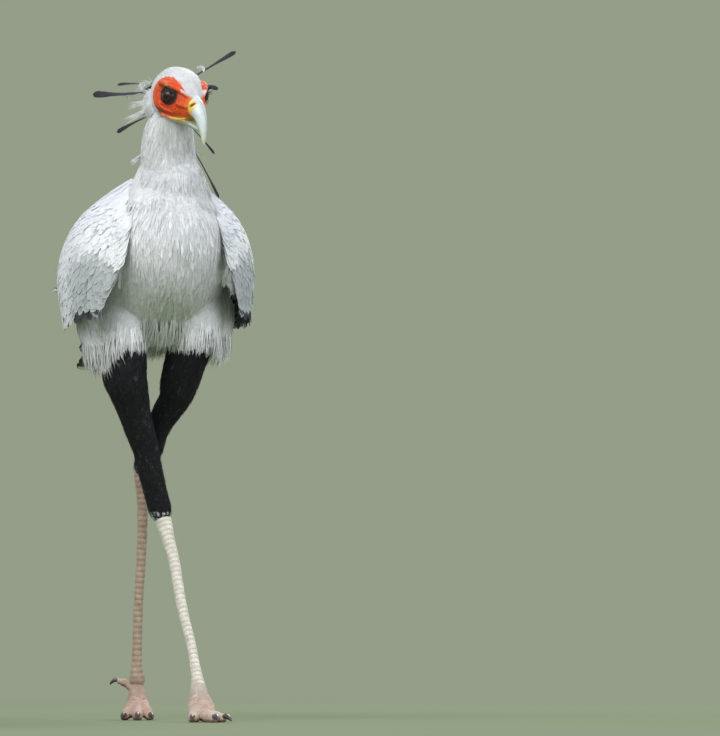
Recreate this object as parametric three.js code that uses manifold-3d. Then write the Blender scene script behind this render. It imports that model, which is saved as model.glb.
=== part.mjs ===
// Secretary bird, life size, walking: one closed solid for each named part of the body.
// Millimetres, +Z up, floor at z = 0. The bird walks towards -Y, and its left side is +X.
import * as THREE from "three";
import { mergeVertices } from "three/addons/utils/BufferGeometryUtils.js";
import Module from "manifold-3d";

const wasm = await Module();
wasm.setup();

// Driving sizes
const TAIL_LENGTH = 540; // the two long middle tail feathers
const BODY_HALF_WIDTH = 108;
const WING_HALF_SPAN = 148; // folded wings, from the midline to the outside
const EYE_RADIUS = 12;
const GAP = 0.3; // between touching parts
const VANE_EDGE = 0.6; // thickness at the edge of a feather
const FOOTPRINT_CENTRE = { x: 0, y: 253.5 }; // of the whole bird, from the point below the hips

// Colours
const WHITE = 0xe6e8ec;
const GREY = 0xb4b9c0;
const BLACK = 0x141416;
const SKIN = 0xe8501c;
const HORN = 0xb9c9cf;
const LEG = 0xe6cfc0;
const CLAW = 0x2c2a2a;
const EYE = 0x2a1608;

const V = (x, y, z) => new THREE.Vector3(x, y, z);
const UP = V(0, 0, 1);
const lerp = THREE.MathUtils.lerp;
const clamp01 = (x) => THREE.MathUtils.clamp(x, 0, 1);
const radians = THREE.MathUtils.degToRad;

// A repeatable random number from -1 to 1
let seed = 7;
function jitter() {
  seed = (seed * 16807) % 2147483647;
  return (seed / 2147483647) * 2 - 1;
}

// Smooth values through a short table. Each row starts with the place, and the rest are the values there.
function through(table) {
  const places = table.map((row) => row[0]);
  const values = table.flatMap((row) => row.slice(1));
  const curve = new THREE.CubicInterpolant(places, values, table[0].length - 1);
  return (at) => [...curve.evaluate(at)];
}

// A closed body of rings along a path. ring(v) gives its centre, its half width and its reach up and down,
// and the body ends in a point at each end.
function ringed(rows, columns, ring, upwards = UP) {
  const geometry = new THREE.SphereGeometry(1, columns, rows);
  const at = geometry.attributes.position;
  const centres = [];
  for (let row = 0; row <= rows; row++) centres.push(ring(row / rows));
  for (let i = 0; i < at.count; i++) {
    const row = Math.floor(i / (columns + 1));
    const here = centres[row];
    const ahead = centres[Math.min(row + 1, rows)].centre.clone();
    const along = (here.along ?? ahead.sub(centres[Math.max(row - 1, 0)].centre)).clone().normalize();
    const up = upwards.clone().addScaledVector(along, -upwards.dot(along)).normalize();
    const side = up.clone().cross(along);
    const open = row === 0 || row === rows ? 0 : 1 / Math.sin((Math.PI * row) / rows);
    const x = at.getX(i) * open;
    const z = at.getZ(i) * open;
    const squareness = 2 / (here.power ?? 2);
    const across = Math.sign(x) * Math.abs(x) ** squareness * here.width;
    const rise = Math.sign(z) * Math.abs(z) ** squareness * (z > 0 ? here.top : here.bottom);
    const place = here.centre.clone().addScaledVector(side, across).addScaledVector(up, rise);
    at.setXYZ(i, place.x, place.y, place.z);
  }
  return geometry;
}

// A round limb through points, each {p, r, deep}, with a point at each end. ridge(v) adds to its thickness.
function limb(points, rows, columns, upwards = V(0, -1, 0), ridge = () => 0) {
  const path = new THREE.CatmullRomCurve3(points.map((point) => point.p));
  const radius = through(points.map((point, i) => [i / (points.length - 1), point.r, point.deep ?? point.r]));
  return ringed(
    rows,
    columns,
    (v) => {
      const spread = (1 - Math.cos(Math.PI * v)) / 2;
      const t = lerp(v, spread, 0.35);
      const [width, deep] = radius(t);
      const raised = ridge(v);
      return { centre: path.getPoint(t), width: width + raised, top: deep + raised, bottom: deep + raised };
    },
    upwards,
  );
}

// A thin plate. place(across, along) gives the point on its mid surface, its normal and its thickness there.
// Both faces are split the same way and are joined by a rim.
function plate(rows, place) {
  const columns = 2;
  const flat = new THREE.PlaneGeometry(1, 1, columns, rows);
  const count = flat.attributes.position.count;
  const points = new Float32Array(count * 6);
  for (let i = 0; i < count; i++) {
    const across = (i % (columns + 1)) - 1;
    const along = Math.floor(i / (columns + 1)) / rows;
    const { point, normal, thick } = place(across, along);
    for (const face of [0, 1]) {
      point.clone().addScaledVector(normal, (0.5 - face) * thick).toArray(points, (i + face * count) * 3);
    }
  }
  const faces = [...flat.index.array];
  for (let i = 0; i < flat.index.count; i += 3) {
    faces.push(faces[i] + count, faces[i + 2] + count, faces[i + 1] + count);
  }
  const rim = [];
  for (let i = 0; i < columns; i++) rim.push(i);
  for (let i = 0; i < rows; i++) rim.push(i * (columns + 1) + columns);
  for (let i = columns; i > 0; i--) rim.push(rows * (columns + 1) + i);
  for (let i = rows; i > 0; i--) rim.push(i * (columns + 1));
  for (let i = 0; i < rim.length; i++) {
    const a = rim[i];
    const b = rim[(i + 1) % rim.length];
    faces.push(a, b, b + count, a, b + count, a + count);
  }
  const geometry = new THREE.BufferGeometry();
  geometry.setAttribute("position", new THREE.BufferAttribute(points, 3));
  geometry.setIndex(faces);
  return geometry;
}

// A feather's vane along a curve: route(v) gives its midline point and the outward direction there.
function vane({ route, width, outline = contourFeather, thick = 1.6, roll = 0, cup = 0.12, rows = 4 }) {
  const step = 0.02;
  return plate(rows, (across, along) => {
    const here = route(along);
    const back = route(Math.max(along - step, 0)).point;
    const onward = route(Math.min(along + step, 1)).point.clone().sub(back).normalize();
    const side = onward.clone().cross(here.normal).normalize();
    const normal = side.clone().cross(onward).normalize();
    const half = (width / 2) * outline(along);
    const rise = across * Math.sin(roll) - Math.abs(across) * cup;
    const point = here.point.clone().addScaledVector(side, across * half).addScaledVector(normal, rise * half);
    return { point, normal, thick: lerp(thick, VANE_EDGE, Math.max(Math.abs(across), along)) };
  });
}

// Outlines of a feather, from root to tip, as a share of its full width
const rounded = (v, from) => Math.sqrt(Math.max(1 - ((v - from) / (1.02 - from)) ** 2, 0));
const contourFeather = (v) => (v < 0.6 ? lerp(0.5, 1, v / 0.6) : rounded(v, 0.6));
const longFeather = (v) => (v < 0.85 ? lerp(0.55, 1, clamp01(v / 0.4)) : rounded(v, 0.85));
const plumeFeather = (v) => (v > 0.97 ? 0.4 : 0.38 + 0.62 * Math.exp(-(((v - 0.8) / 0.2) ** 2)));

function solid(geometry) {
  const bare = geometry.index ? geometry.clone() : geometry;
  for (const name of Object.keys(bare.attributes)) if (name !== "position") bare.deleteAttribute(name);
  const merged = mergeVertices(bare, 1e-3);
  const corners = merged.index.array;
  const faces = [];
  for (let i = 0; i < corners.length; i += 3) {
    const [a, b, c] = [corners[i], corners[i + 1], corners[i + 2]];
    if (a !== b && b !== c && c !== a) faces.push(a, b, c);
  }
  const vertProperties = merged.attributes.position.array;
  const bodyOf = (triVerts) => new wasm.Manifold(new wasm.Mesh({ numProp: 3, vertProperties, triVerts }));
  const body = bodyOf(new Uint32Array(faces));
  return body.volume() > 0 ? body : bodyOf(new Uint32Array(faces).reverse());
}

function geometryOf(body) {
  const mesh = body.getMesh();
  const points = new Float32Array(mesh.numVert * 3);
  for (let i = 0; i < mesh.numVert; i++) {
    points.set(mesh.vertProperties.subarray(i * mesh.numProp, i * mesh.numProp + 3), i * 3);
  }
  const geometry = new THREE.BufferGeometry();
  geometry.setAttribute("position", new THREE.BufferAttribute(points, 3));
  geometry.setIndex(new THREE.BufferAttribute(mesh.triVerts, 1));
  geometry.computeVertexNormals();
  return geometry;
}

// The same body a little larger all round, to cut a neighbour back by the gap.
function swollen(body, by = GAP) {
  const geometry = geometryOf(body);
  const at = geometry.attributes.position;
  const place = V(0, 0, 0);
  const outward = V(0, 0, 0);
  for (let i = 0; i < at.count; i++) {
    outward.fromBufferAttribute(geometry.attributes.normal, i);
    place.fromBufferAttribute(at, i).addScaledVector(outward, by);
    at.setXYZ(i, place.x, place.y, place.z);
  }
  return solid(geometry);
}

const join = (bodies) => wasm.Manifold.union(bodies);
const mirrored = (body) => body.mirror([1, 0, 0]);

function largest(body) {
  const pieces = body.decompose();
  return pieces.reduce((a, b) => (b.volume() > a.volume() ? b : a));
}

const cutBack = (body, ...neighbours) =>
  largest(neighbours.reduce((left, other) => left.subtract(swollen(other)).subtract(other), body));

// Torso, from the breast to the root of the tail: place along Y, height, half width, reach up, reach down
const trunk = through([
  [0, -170, 742, 12, 12, 12],
  [0.1, -150, 738, 60, 58, 62],
  [0.25, -108, 728, 90, 88, 96],
  [0.42, -42, 714, BODY_HALF_WIDTH, 112, 128],
  [0.58, 28, 700, BODY_HALF_WIDTH + 4, 108, 127],
  [0.74, 98, 690, 96, 92, 106],
  [0.87, 165, 682, 70, 62, 72],
  [0.95, 212, 676, 44, 36, 44],
  [1, 244, 672, 12, 12, 12],
]);

function trunkRing(v) {
  const [y, z, width, top, bottom] = trunk(v);
  return { centre: V(0, y, z), along: V(0, 1, 0), width, top, bottom };
}

const torso = solid(ringed(16, 22, trunkRing));

// Folded wing: its outside face, from the front edge back to the tip and from the back down to the lower edge.
// This is the left one, and the right one is its mirror image.
const wingGrid = [
  [V(58, -98, 802), V(80, -124, 748), V(94, -124, 688), V(112, -100, 624)],
  [V(50, -55, 828), V(112, -64, 768), V(138, -62, 700), V(139, -50, 610)],
  [V(42, 20, 824), V(118, 20, 766), V(WING_HALF_SPAN, 20, 690), V(138, 25, 596)],
  [V(36, 110, 790), V(100, 110, 746), V(127, 115, 680), V(118, 120, 600)],
  [V(26, 210, 750), V(66, 212, 724), V(92, 218, 682), V(92, 225, 630)],
  [V(14, 330, 722), V(38, 335, 712), V(54, 340, 694), V(54, 345, 668)],
];
const wingRibs = wingGrid.map((points) => new THREE.CatmullRomCurve3(points));

function wingPoint(s, t) {
  const line = new THREE.CatmullRomCurve3(wingRibs.map((rib) => rib.getPoint(clamp01(t))));
  return line.getPoint(clamp01(s));
}

function wingFace(s, t) {
  const step = 0.01;
  const point = wingPoint(s, t);
  const back = wingPoint(Math.min(s + step, 1), t).sub(wingPoint(Math.max(s - step, 0), t));
  const down = wingPoint(s, Math.min(t + step, 1)).sub(wingPoint(s, Math.max(t - step, 0)));
  return { point, normal: down.cross(back).normalize() };
}

// The flesh of the wing under its feathers
const WING_FLESH = { s: 0.8, t: 0.82, depth: 46 };

function wingFlesh() {
  const rows = 7;
  const columns = 5;
  const sections = [];
  for (let row = 0; row <= rows; row++) {
    const s = (WING_FLESH.s * row) / rows;
    const outside = [];
    const inside = [];
    for (let column = 0; column <= columns; column++) {
      const t = (WING_FLESH.t * column) / columns;
      const { point, normal } = wingFace(s, t);
      const lengthwise = Math.sin(Math.PI * lerp(0.06, 0.94, row / rows));
      const fullness = lengthwise * Math.sin(Math.PI * lerp(0.1, 0.94, column / columns));
      outside.push(point);
      inside.push(point.clone().addScaledVector(normal, -4 - WING_FLESH.depth * Math.sqrt(fullness)));
    }
    sections.push([...outside, ...inside.reverse()]);
  }
  return lofted(sections);
}

// A closed body through rings of points, all with the same number of points
function lofted(sections) {
  const around = sections[0].length;
  const points = sections.flatMap((ring) => ring.flatMap((point) => [point.x, point.y, point.z]));
  const faces = [];
  for (let row = 0; row < sections.length - 1; row++) {
    for (let i = 0; i < around; i++) {
      const a = row * around + i;
      const b = row * around + ((i + 1) % around);
      faces.push(a, b, b + around, a, b + around, a + around);
    }
  }
  const last = (sections.length - 1) * around;
  for (let i = 0; i < around / 2 - 1; i++) {
    const j = around - 1 - i;
    faces.push(i, j - 1, i + 1, i, j, j - 1);
    faces.push(last + i, last + i + 1, last + j - 1, last + i, last + j - 1, last + j);
  }
  const geometry = new THREE.BufferGeometry();
  geometry.setAttribute("position", new THREE.BufferAttribute(new Float32Array(points), 3));
  geometry.setIndex(faces);
  return geometry;
}

// Feathers in rows over the wing, each row with its roots under the row in front of it. from and to are the
// first and last feather of the row: s and t of the root, then of the tip.
const WING_ROWS = [
  { count: 4, width: 50, lift: 4, from: [0.02, 0.2, 0.15, 0.24], to: [0.04, 0.84, 0.16, 0.94] },
  { count: 4, width: 52, lift: 5, from: [0.14, 0.12, 0.32, 0.18], to: [0.16, 0.84, 0.31, 0.97] },
  { count: 4, width: 52, lift: 6, from: [0.3, 0.14, 0.5, 0.22], to: [0.29, 0.82, 0.48, 1] },
  { count: 4, width: 52, lift: 6, from: [0.48, 0.14, 0.7, 0.24], to: [0.46, 0.8, 0.68, 1] },
  { count: 4, width: 42, lift: 6, from: [0.64, 0.16, 0.86, 0.26], to: [0.62, 0.76, 0.84, 0.96] },
  { count: 4, width: 36, lift: 4, from: [0.74, 0.14, 1, 0.16], to: [0.7, 0.72, 0.95, 0.86], long: true },
];

function wingFeathers() {
  const vanes = [];
  for (const row of WING_ROWS) {
    for (let i = 0; i < row.count; i++) {
      const share = i / (row.count - 1);
      const [s0, t0, s1, t1] = row.from.map((value, k) => lerp(value, row.to[k], share) + 0.006 * jitter());
      const route = (v) => {
        const face = wingFace(lerp(s0, s1, v), lerp(t0, t1, v));
        face.point.addScaledVector(face.normal, lerp(-5, row.lift, v ** 0.6));
        return face;
      };
      const outline = row.long ? longFeather : contourFeather;
      vanes.push(solid(vane({ route, width: row.width, outline, roll: 0.16, rows: row.long ? 4 : 3 })));
    }
  }
  return vanes;
}

const wingRaw = join([solid(wingFlesh()), ...wingFeathers()]);

// Neck, from the breast up to the head
const HEAD = { centre: V(0, -132, 952), turn: radians(24), pitch: radians(9) };
const neckRaw = solid(
  limb(
    [
      { p: V(0, -62, 742), r: 84, deep: 74 },
      { p: V(0, -76, 790), r: 74, deep: 66 },
      { p: V(0, -84, 822), r: 57, deep: 60 },
      { p: V(0, -92, 850), r: 47, deep: 52 },
      { p: V(0, -101, 876), r: 41, deep: 46 },
      { p: V(0, -114, 906), r: 35, deep: 40 },
      { p: V(0, -124, 940), r: 30, deep: 34 },
      { p: V(0, -126, 962), r: 16, deep: 18 },
    ],
    12,
    20,
  ),
);

const wingLeft = cutBack(wingRaw, torso, neckRaw);
const wingRight = cutBack(mirrored(wingRaw), torso, neckRaw);

// Head: a point given forward, to its left and up from the middle of the head
const forward = V(0, -1, -Math.tan(HEAD.pitch)).applyAxisAngle(UP, HEAD.turn).normalize();
const leftward = UP.clone().cross(forward).normalize();
const upward = forward.clone().cross(leftward).normalize();
const onHead = (f, l, u) =>
  HEAD.centre.clone().addScaledVector(forward, f).addScaledVector(leftward, l).addScaledVector(upward, u);

const skull = through([
  [0, -41, 4, 5, 5, 5],
  [0.14, -33, 3, 22, 24, 27],
  [0.32, -14, 1, 33, 42, 38],
  [0.5, 6, 1, 38, 46, 41],
  [0.68, 26, 1, 36, 43, 40],
  [0.84, 42, 0, 27, 31, 33],
  [0.94, 53, -4, 18, 18, 22],
  [1, 60, -6, 7, 7, 8],
]);

function skullRing(v) {
  const [f, u, width, top, bottom] = skull(v);
  return { centre: onHead(f, 0, u), along: forward, width, top, bottom };
}

const skullBody = solid(ringed(12, 20, skullRing, upward));

// Bill, mouth line and nostrils
const billPath = (points) => points.map(([f, u, r, deep]) => ({ p: onHead(f, 0, u), r, deep }));
const billUpperRaw = solid(limb(billPath([
  [38, -4, 15, 17], [52, -6, 15, 16], [64, -12, 12.5, 13], [74, -22, 9, 10], [81, -37, 6, 7],
  [84, -52, 3.6, 4.4], [84.5, -62, 1, 1.2],
]), 10, 12, upward));
const billLowerRaw = solid(limb(billPath([
  [30, -30, 15, 8], [48, -31, 13.5, 7.5], [62, -34, 10, 6], [72, -38, 5, 3.5], [76, -40, 1, 1],
]), 7, 12, upward));
function headPath(side, rows) {
  return rows.map(([f, l, u, r, deep]) => ({ p: onHead(f, l * side, u), r, deep: deep ?? r }));
}
const NOSTRIL = [[57, 13.5, -9, 1, 1.4], [61, 13, -5, 2, 3], [65, 12.5, -1, 1.2, 1.6]];
const MOUTH_LINE = [[8, 36, -18, 1], [24, 35, -27, 1.6], [40, 26, -28, 1.8], [56, 17, -24, 1.4]];
const nostril = (side) => solid(limb(headPath(side, NOSTRIL), 6, 8, upward));
const mouthLine = (side) => solid(limb(headPath(side, MOUTH_LINE), 8, 8, upward));

// Eyes, with a lid above and below
const eyeAt = (side) => onHead(26, 29.5 * side, 6);
const eyeOut = (side) => forward.clone().multiplyScalar(0.42).addScaledVector(leftward, side).normalize();
const eyeball = (side) => {
  const centre = eyeAt(side);
  const ball = new THREE.SphereGeometry(EYE_RADIUS, 12, 8).translate(centre.x, centre.y, centre.z);
  return solid(ball);
};
function lid(side, upper) {
  const out = eyeOut(side);
  const across = upward.clone().cross(out).normalize();
  const points = [];
  for (let i = 0; i <= 6; i++) {
    const angle = lerp(-1.35, 1.35, i / 6);
    const height = (upper ? 8.2 : -8.4) * Math.cos(angle * 0.9);
    const reach = Math.sin(angle) * (EYE_RADIUS + 0.5);
    const depth = Math.sqrt(Math.max((EYE_RADIUS + 1) ** 2 - reach ** 2 - height ** 2, 1));
    const p = eyeAt(side).addScaledVector(out, depth).addScaledVector(across, reach);
    p.addScaledVector(upward, height);
    points.push({ p, r: i === 0 || i === 6 ? 1.4 : 2.4 });
  }
  return solid(limb(points, 7, 6, upward));
}

// Crest plumes: where each leaves the head or neck, where it ends, how far it sags, and its width
const CREST = [
  { on: "head", root: [-28, -12, 26], tip: V(18, 44, 974), sag: -10, width: 13 },
  { on: "head", root: [-30, 8, 22], tip: V(58, 30, 950), sag: -10, width: 14 },
  { on: "head", root: [-33, -4, 14], tip: V(-6, 46, 960), sag: -10, width: 14 },
  { on: "head", root: [-18, 16, 26], tip: V(115, -56, 1022), sag: -6, width: 13 },
  { on: "head", root: [-24, 18, 14], tip: V(92, -68, 966), sag: -5, width: 13 },
  { on: "head", root: [-33, -14, 12], tip: V(-101, -48, 954), sag: -5, width: 14 },
  { on: "head", root: [-30, -18, 22], tip: V(-58, -38, 974), sag: -8, width: 12 },
  { on: "head", root: [-36, 0, 4], tip: V(6, 40, 932), sag: -10, width: 15 },
  { on: "neck", root: V(-16, -92, 930), tip: V(-64, -26, 900), sag: -7, width: 14 },
  { on: "neck", root: V(10, -86, 926), tip: V(24, 42, 884), sag: -12, width: 15 },
  { on: "neck", root: V(26, -92, 914), tip: V(86, -52, 868), sag: -6, width: 13 },
  { on: "neck", root: V(-8, -78, 900), tip: V(-14, 44, 852), sag: -10, width: 15 },
  { on: "neck", root: V(34, -88, 876), tip: V(72, -136, 800), sag: -8, width: 14 },
];

// Plumes at the sides face forward, and those behind the head lie nearly flat
const PLUME_FACING = V(0, -0.85, 0.5);

function plume({ on, root, tip, sag, width }) {
  const start = on === "head" ? onHead(...root) : root;
  const middle = start.clone().lerp(tip, 0.5).addScaledVector(UP, -sag);
  const line = new THREE.QuadraticBezierCurve3(start, middle, tip);
  const route = (v) => ({ point: line.getPoint(v), normal: PLUME_FACING });
  return solid(vane({ route, width, outline: plumeFeather, thick: 1.4, cup: 0.05, rows: 5 }));
}

const plumes = (on) => CREST.filter((one) => one.on === on).map(plume);
const neckWhole = join([neckRaw, ...plumes("neck")]);
const neck = cutBack(neckWhole, torso);
const eyeLeft = eyeball(1);
const eyeRight = eyeball(-1);
const faceParts = [skullBody, lid(1, true), lid(1, false), lid(-1, true), lid(-1, false)];
const headWhole = join([...faceParts, ...plumes("head")]).subtract(join([mouthLine(1), mouthLine(-1)]));
const head = cutBack(headWhole, neck, eyeLeft, eyeRight);
const billUpper = cutBack(billUpperRaw.subtract(join([nostril(1), nostril(-1)])), head);
const billLower = cutBack(billLowerRaw, head, billUpper);

// Tail: a short root, the twelve tail feathers and the coverts over and under them
const TAIL = { root: V(0, 205, 662), turn: radians(5.5), fall: radians(15.8) };
const tailDirection = (turn, fall) => V(0, 1, -Math.tan(fall)).applyAxisAngle(UP, -turn).normalize();
const TAIL_SAG = 14;
const TAIL_LAYER = 2.2; // from one tail feather down to the next in the folded stack
const TAIL_PAIRS = [
  { length: TAIL_LENGTH, spread: 1, width: 50 },
  { length: 400, spread: 2, width: 48 },
  { length: 365, spread: 3, width: 46 },
  { length: 335, spread: 4.2, width: 44 },
  { length: 305, spread: 5.4, width: 42 },
  { length: 275, spread: 6.6, width: 40 },
];

function tailFeathers() {
  const vanes = [];
  for (const side of [-1, 1]) {
    TAIL_PAIRS.forEach(({ length, spread, width }, pair) => {
      const way = tailDirection(TAIL.turn + side * radians(spread), TAIL.fall);
      const level = TAIL_LAYER * (5.5 - 2 * pair - (side > 0 ? 1 : 0));
      const root = TAIL.root.clone().add(V(side * (6 + pair * 2), 6, level));
      const route = (v) => {
        const far = (length * v) / TAIL_LENGTH;
        const point = root.clone().addScaledVector(way, length * v);
        point.z -= TAIL_SAG * (Math.sin(Math.PI * far) - far * far);
        return { point, normal: UP };
      };
      const rows = pair === 0 ? 6 : 3;
      vanes.push(solid(vane({ route, width, outline: longFeather, thick: 1.4, cup: 0.03, rows })));
    });
  }
  return vanes;
}

function tailCoverts() {
  const vanes = [];
  for (const over of [1, -1]) {
    for (let row = 0; row < (over > 0 ? 2 : 1); row++) {
      for (let i = row - 2; i <= 2 - row; i += 2) {
        const way = tailDirection(TAIL.turn + radians(i * 9), TAIL.fall - over * radians(2));
        const root = TAIL.root.clone().add(V(i * 11, -8 + row * 26, over * (24 - row * 5 - Math.abs(i) * 4)));
        const route = (v) => ({
          point: root.clone().addScaledVector(way, 96 * v).addScaledVector(UP, over * (-6 * v + 3 * row)),
          normal: V(i * 0.12, 0, over).normalize(),
        });
        vanes.push(solid(vane({ route, width: 50, thick: 1.6, roll: 0.08, rows: 3 })));
      }
    }
  }
  return vanes;
}

const tailRoot = solid(
  ringed(8, 14, (v) => {
    const way = tailDirection(TAIL.turn, TAIL.fall);
    const size = Math.sin(Math.PI * lerp(0.02, 0.98, v)) ** 0.6;
    const centre = TAIL.root.clone().addScaledVector(way, lerp(-30, 90, v));
    return { centre, along: way, width: 38 * size, top: 22 * size, bottom: 24 * size };
  }),
);
const tailWhole = join([tailRoot, ...tailFeathers(), ...tailCoverts()]);
const tail = cutBack(tailWhole, torso, wingLeft, wingRight);

// Legs. Each limb is a row of points down its middle, with its half width and half depth.
function path(rows, sink = 0) {
  return rows.map(([x, y, z, r, deep]) => ({ p: V(x, y, z - sink), r, deep: deep ?? r }));
}
const thighRaw = {
  right: solid(limb(path([
    [-50, 20, 668, 20], [-54, 4, 640, 46, 60], [-58, -12, 604, 48, 62], [-57, -14, 572, 42, 54],
    [-55, -12, 556, 20],
  ]), 8, 16)),
  left: solid(limb(path([
    [50, 10, 672, 20], [55, -8, 644, 46, 60], [58, -22, 610, 47, 60], [56, -20, 582, 42, 52],
    [54, -16, 566, 20],
  ]), 8, 16)),
};
const tibiaRaw = {
  right: solid(limb(path([
    [-58, -24, 606, 12], [-56, -16, 572, 38, 48], [-52.6, -10, 533, 38, 46], [-41, 3, 500, 33, 38],
    [-29.2, 16, 467, 28, 32], [-8.1, 36, 414, 24, 26], [1.3, 48, 383, 21, 23], [12.5, 61, 350, 17, 18],
    [22, 70, 322, 15, 15], [26, 71, 303, 9, 10],
  ]), 14, 16)),
  left: solid(limb(path([
    [58, -34, 614, 12], [55, -22, 588, 37, 46], [47.6, -5, 559, 36, 44], [41.2, 27, 512, 32, 38],
    [38, 40, 493, 28, 32], [18.8, 70, 449, 22, 25], [12.8, 91, 418, 19, 20], [6.5, 108, 393, 14, 15],
    [4, 116, 374, 9, 10],
  ]), 14, 16)),
};
const SCUTES = 12;
const scute = (v) => (v > 0.1 && v < 0.9 && Math.round(v * SCUTES * 2) % 2 === 0 ? 0.9 : 0);
const tarsusRaw = {
  right: solid(limb(path([
    [24, 74, 322, 8], [26.5, 68, 306, 12.5, 13], [30.8, 42, 269, 9.4, 11], [33.2, 20, 241, 8.6, 10],
    [33.7, -28, 177, 8, 9.5], [38.8, -72, 117, 7.4, 9], [39.6, -95, 85, 7.8, 9.5],
    [39.8, -112, 62, 10, 11.5], [39, -124, 44, 13, 13], [38, -128, 30, 7],
  ]), SCUTES * 2, 12, V(0, -1, 0), scute)),
  left: solid(limb(path([
    [3.5, 119, 390, 8], [3.8, 118, 374, 12, 13], [5, 119, 340, 9, 10.5], [5.4, 121, 292, 7.8, 9.4],
    [3.8, 123, 246, 7.5, 9.2], [0.5, 126.6, 177, 7.2, 9], [-0.8, 130, 108, 7.6, 9.2],
    [-1, 131.4, 80, 9, 10.5], [-0.3, 132, 62, 12.5, 12], [0, 132, 48, 7],
  ]), SCUTES * 2, 12, V(0, -1, 0), scute)),
};

// Feet. Each toe is a row of points from the foot to the claw, and each claw one from there to its tip.
const FEET = {
  right: {
    pad: [[39, -112, 34, 9], [38.5, -128, 21, 15, 16], [39, -142, 14, 16, 12], [40, -154, 10, 8]],
    toes: {
      inner: [
        [46, -136, 14, 9], [54, -150, 10.5, 9.5], [60, -164, 8.5, 8.5], [65, -177, 8, 6.5],
        [67, -182, 8, 4],
      ],
      middle: [
        [41, -146, 14, 9], [43, -164, 10.5, 10.5], [44.5, -181, 9, 9.5], [46, -197, 8, 7.5],
        [46.5, -203, 8, 4.5],
      ],
      outer: [
        [32, -136, 14, 9], [26, -151, 10.5, 9.5], [22, -165, 8.5, 8.5], [18, -178, 8, 6.5],
        [16.5, -183, 8, 4],
      ],
      hallux: [[42, -114, 24, 7], [47, -104, 20, 6.5], [51, -95, 15, 6], [54, -88, 11, 4.5], [55, -85, 10, 3]],
    },
    claws: {
      inner: [[66, -180, 9, 4], [69, -186, 9, 4], [71.5, -193, 6.5, 3], [73, -199, 2.6, 1]],
      middle: [[46.3, -201, 9, 4.5], [47, -209, 9, 4.5], [47.5, -217, 6.6, 3.2], [48, -223, 2.6, 1]],
      outer: [[17, -181, 9, 4], [14.5, -187, 9, 4], [12.5, -194, 6.5, 3], [11, -200, 2.6, 1]],
      hallux: [[54.6, -86, 11, 3], [57, -81, 10, 3.4], [60, -76, 6, 2.4], [61.5, -74, 2.4, 0.9]],
    },
  },
  left: {
    pad: [[-0.5, 133, 56, 8], [-1, 130, 40, 14, 14], [-2.5, 119, 27, 15, 12], [-4, 108, 19, 7]],
    toes: {
      inner: [[-9, 120, 28, 8.5], [-18, 106, 18, 9], [-25, 94, 10.5, 8], [-31, 82, 8, 6.5], [-33, 77, 8, 4]],
      middle: [
        [-3.5, 116, 26, 9], [-7, 100, 17, 10], [-10.5, 84, 10.5, 9.5], [-13.5, 69, 8.5, 7.5],
        [-14.5, 64, 8, 4.5],
      ],
      outer: [[5, 120, 28, 8.5], [7, 105, 18, 9], [8, 93, 10.5, 8], [8.5, 81, 8, 6.5], [8.5, 76, 8, 4]],
      hallux: [
        [-6, 136, 50, 6.5], [-14, 141, 56, 6], [-21, 145, 60, 5.5], [-26, 148, 61, 4.2],
        [-28, 149, 61, 3],
      ],
    },
    claws: {
      inner: [[-32, 79, 9, 4], [-35, 73, 9, 4], [-38, 66.5, 6.5, 3], [-40, 61, 2.6, 1]],
      middle: [[-14, 66, 9, 4.5], [-16, 58.5, 9, 4.5], [-18, 51, 6.6, 3.2], [-19, 45, 2.6, 1]],
      outer: [[8.5, 78, 9, 4], [8.4, 71, 9, 4], [8, 64, 6.5, 3], [7.5, 58, 2.6, 1]],
      hallux: [[-27.5, 148.8, 61, 3], [-31, 150, 61, 3.2], [-36, 151, 57.5, 2.2], [-38.5, 151.5, 54, 0.9]],
    },
  },
};

// How far the weight of the bird flattens its toes on the floor
const TOE_PRESS = 1.8;

// The joints of a toe swell a little between the scales
const knuckle = (v) => 0.7 * Math.sin(v * Math.PI * 6);
const onFloor = (body) => largest(body.trimByPlane([0, 0, 1], 0));
const limbs = {};
for (const side of ["right", "left"]) {
  const thigh = cutBack(thighRaw[side], torso, wingLeft, wingRight);
  const tibia = cutBack(tibiaRaw[side], thigh, torso, wingLeft, wingRight);
  const tarsus = cutBack(tarsusRaw[side], tibia);
  const foot = cutBack(onFloor(solid(limb(path(FEET[side].pad), 7, 12))), tarsus);
  Object.assign(limbs, { [`thigh_${side}`]: thigh, [`tibia_${side}`]: tibia, [`tarsus_${side}`]: tarsus });
  limbs[`foot_${side}`] = foot;
  const done = [tarsus, foot];
  for (const name of Object.keys(FEET[side].toes)) {
    const toeLine = path(FEET[side].toes[name], TOE_PRESS);
    const toe = cutBack(onFloor(solid(limb(toeLine, 9, 8, UP, knuckle))), ...done);
    const claw = cutBack(onFloor(solid(limb(path(FEET[side].claws[name]), 5, 8, UP))), toe);
    limbs[`toe_${name}_${side}`] = toe;
    limbs[`claw_${name}_${side}`] = claw;
    done.push(toe);
  }
}

const PARTS = {
  torso: [torso, WHITE],
  neck: [neck, WHITE],
  head: [head, WHITE],
  eye_left: [eyeLeft, EYE],
  eye_right: [eyeRight, EYE],
  bill_upper: [billUpper, HORN],
  bill_lower: [billLower, HORN],
  wing_left: [wingLeft, GREY],
  wing_right: [wingRight, GREY],
  tail: [tail, GREY],
};
for (const [name, body] of Object.entries(limbs)) {
  const colour = /^claw/.test(name) ? CLAW : /^(thigh|tibia)/.test(name) ? BLACK : LEG;
  PARTS[name] = [body, colour];
}

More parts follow.
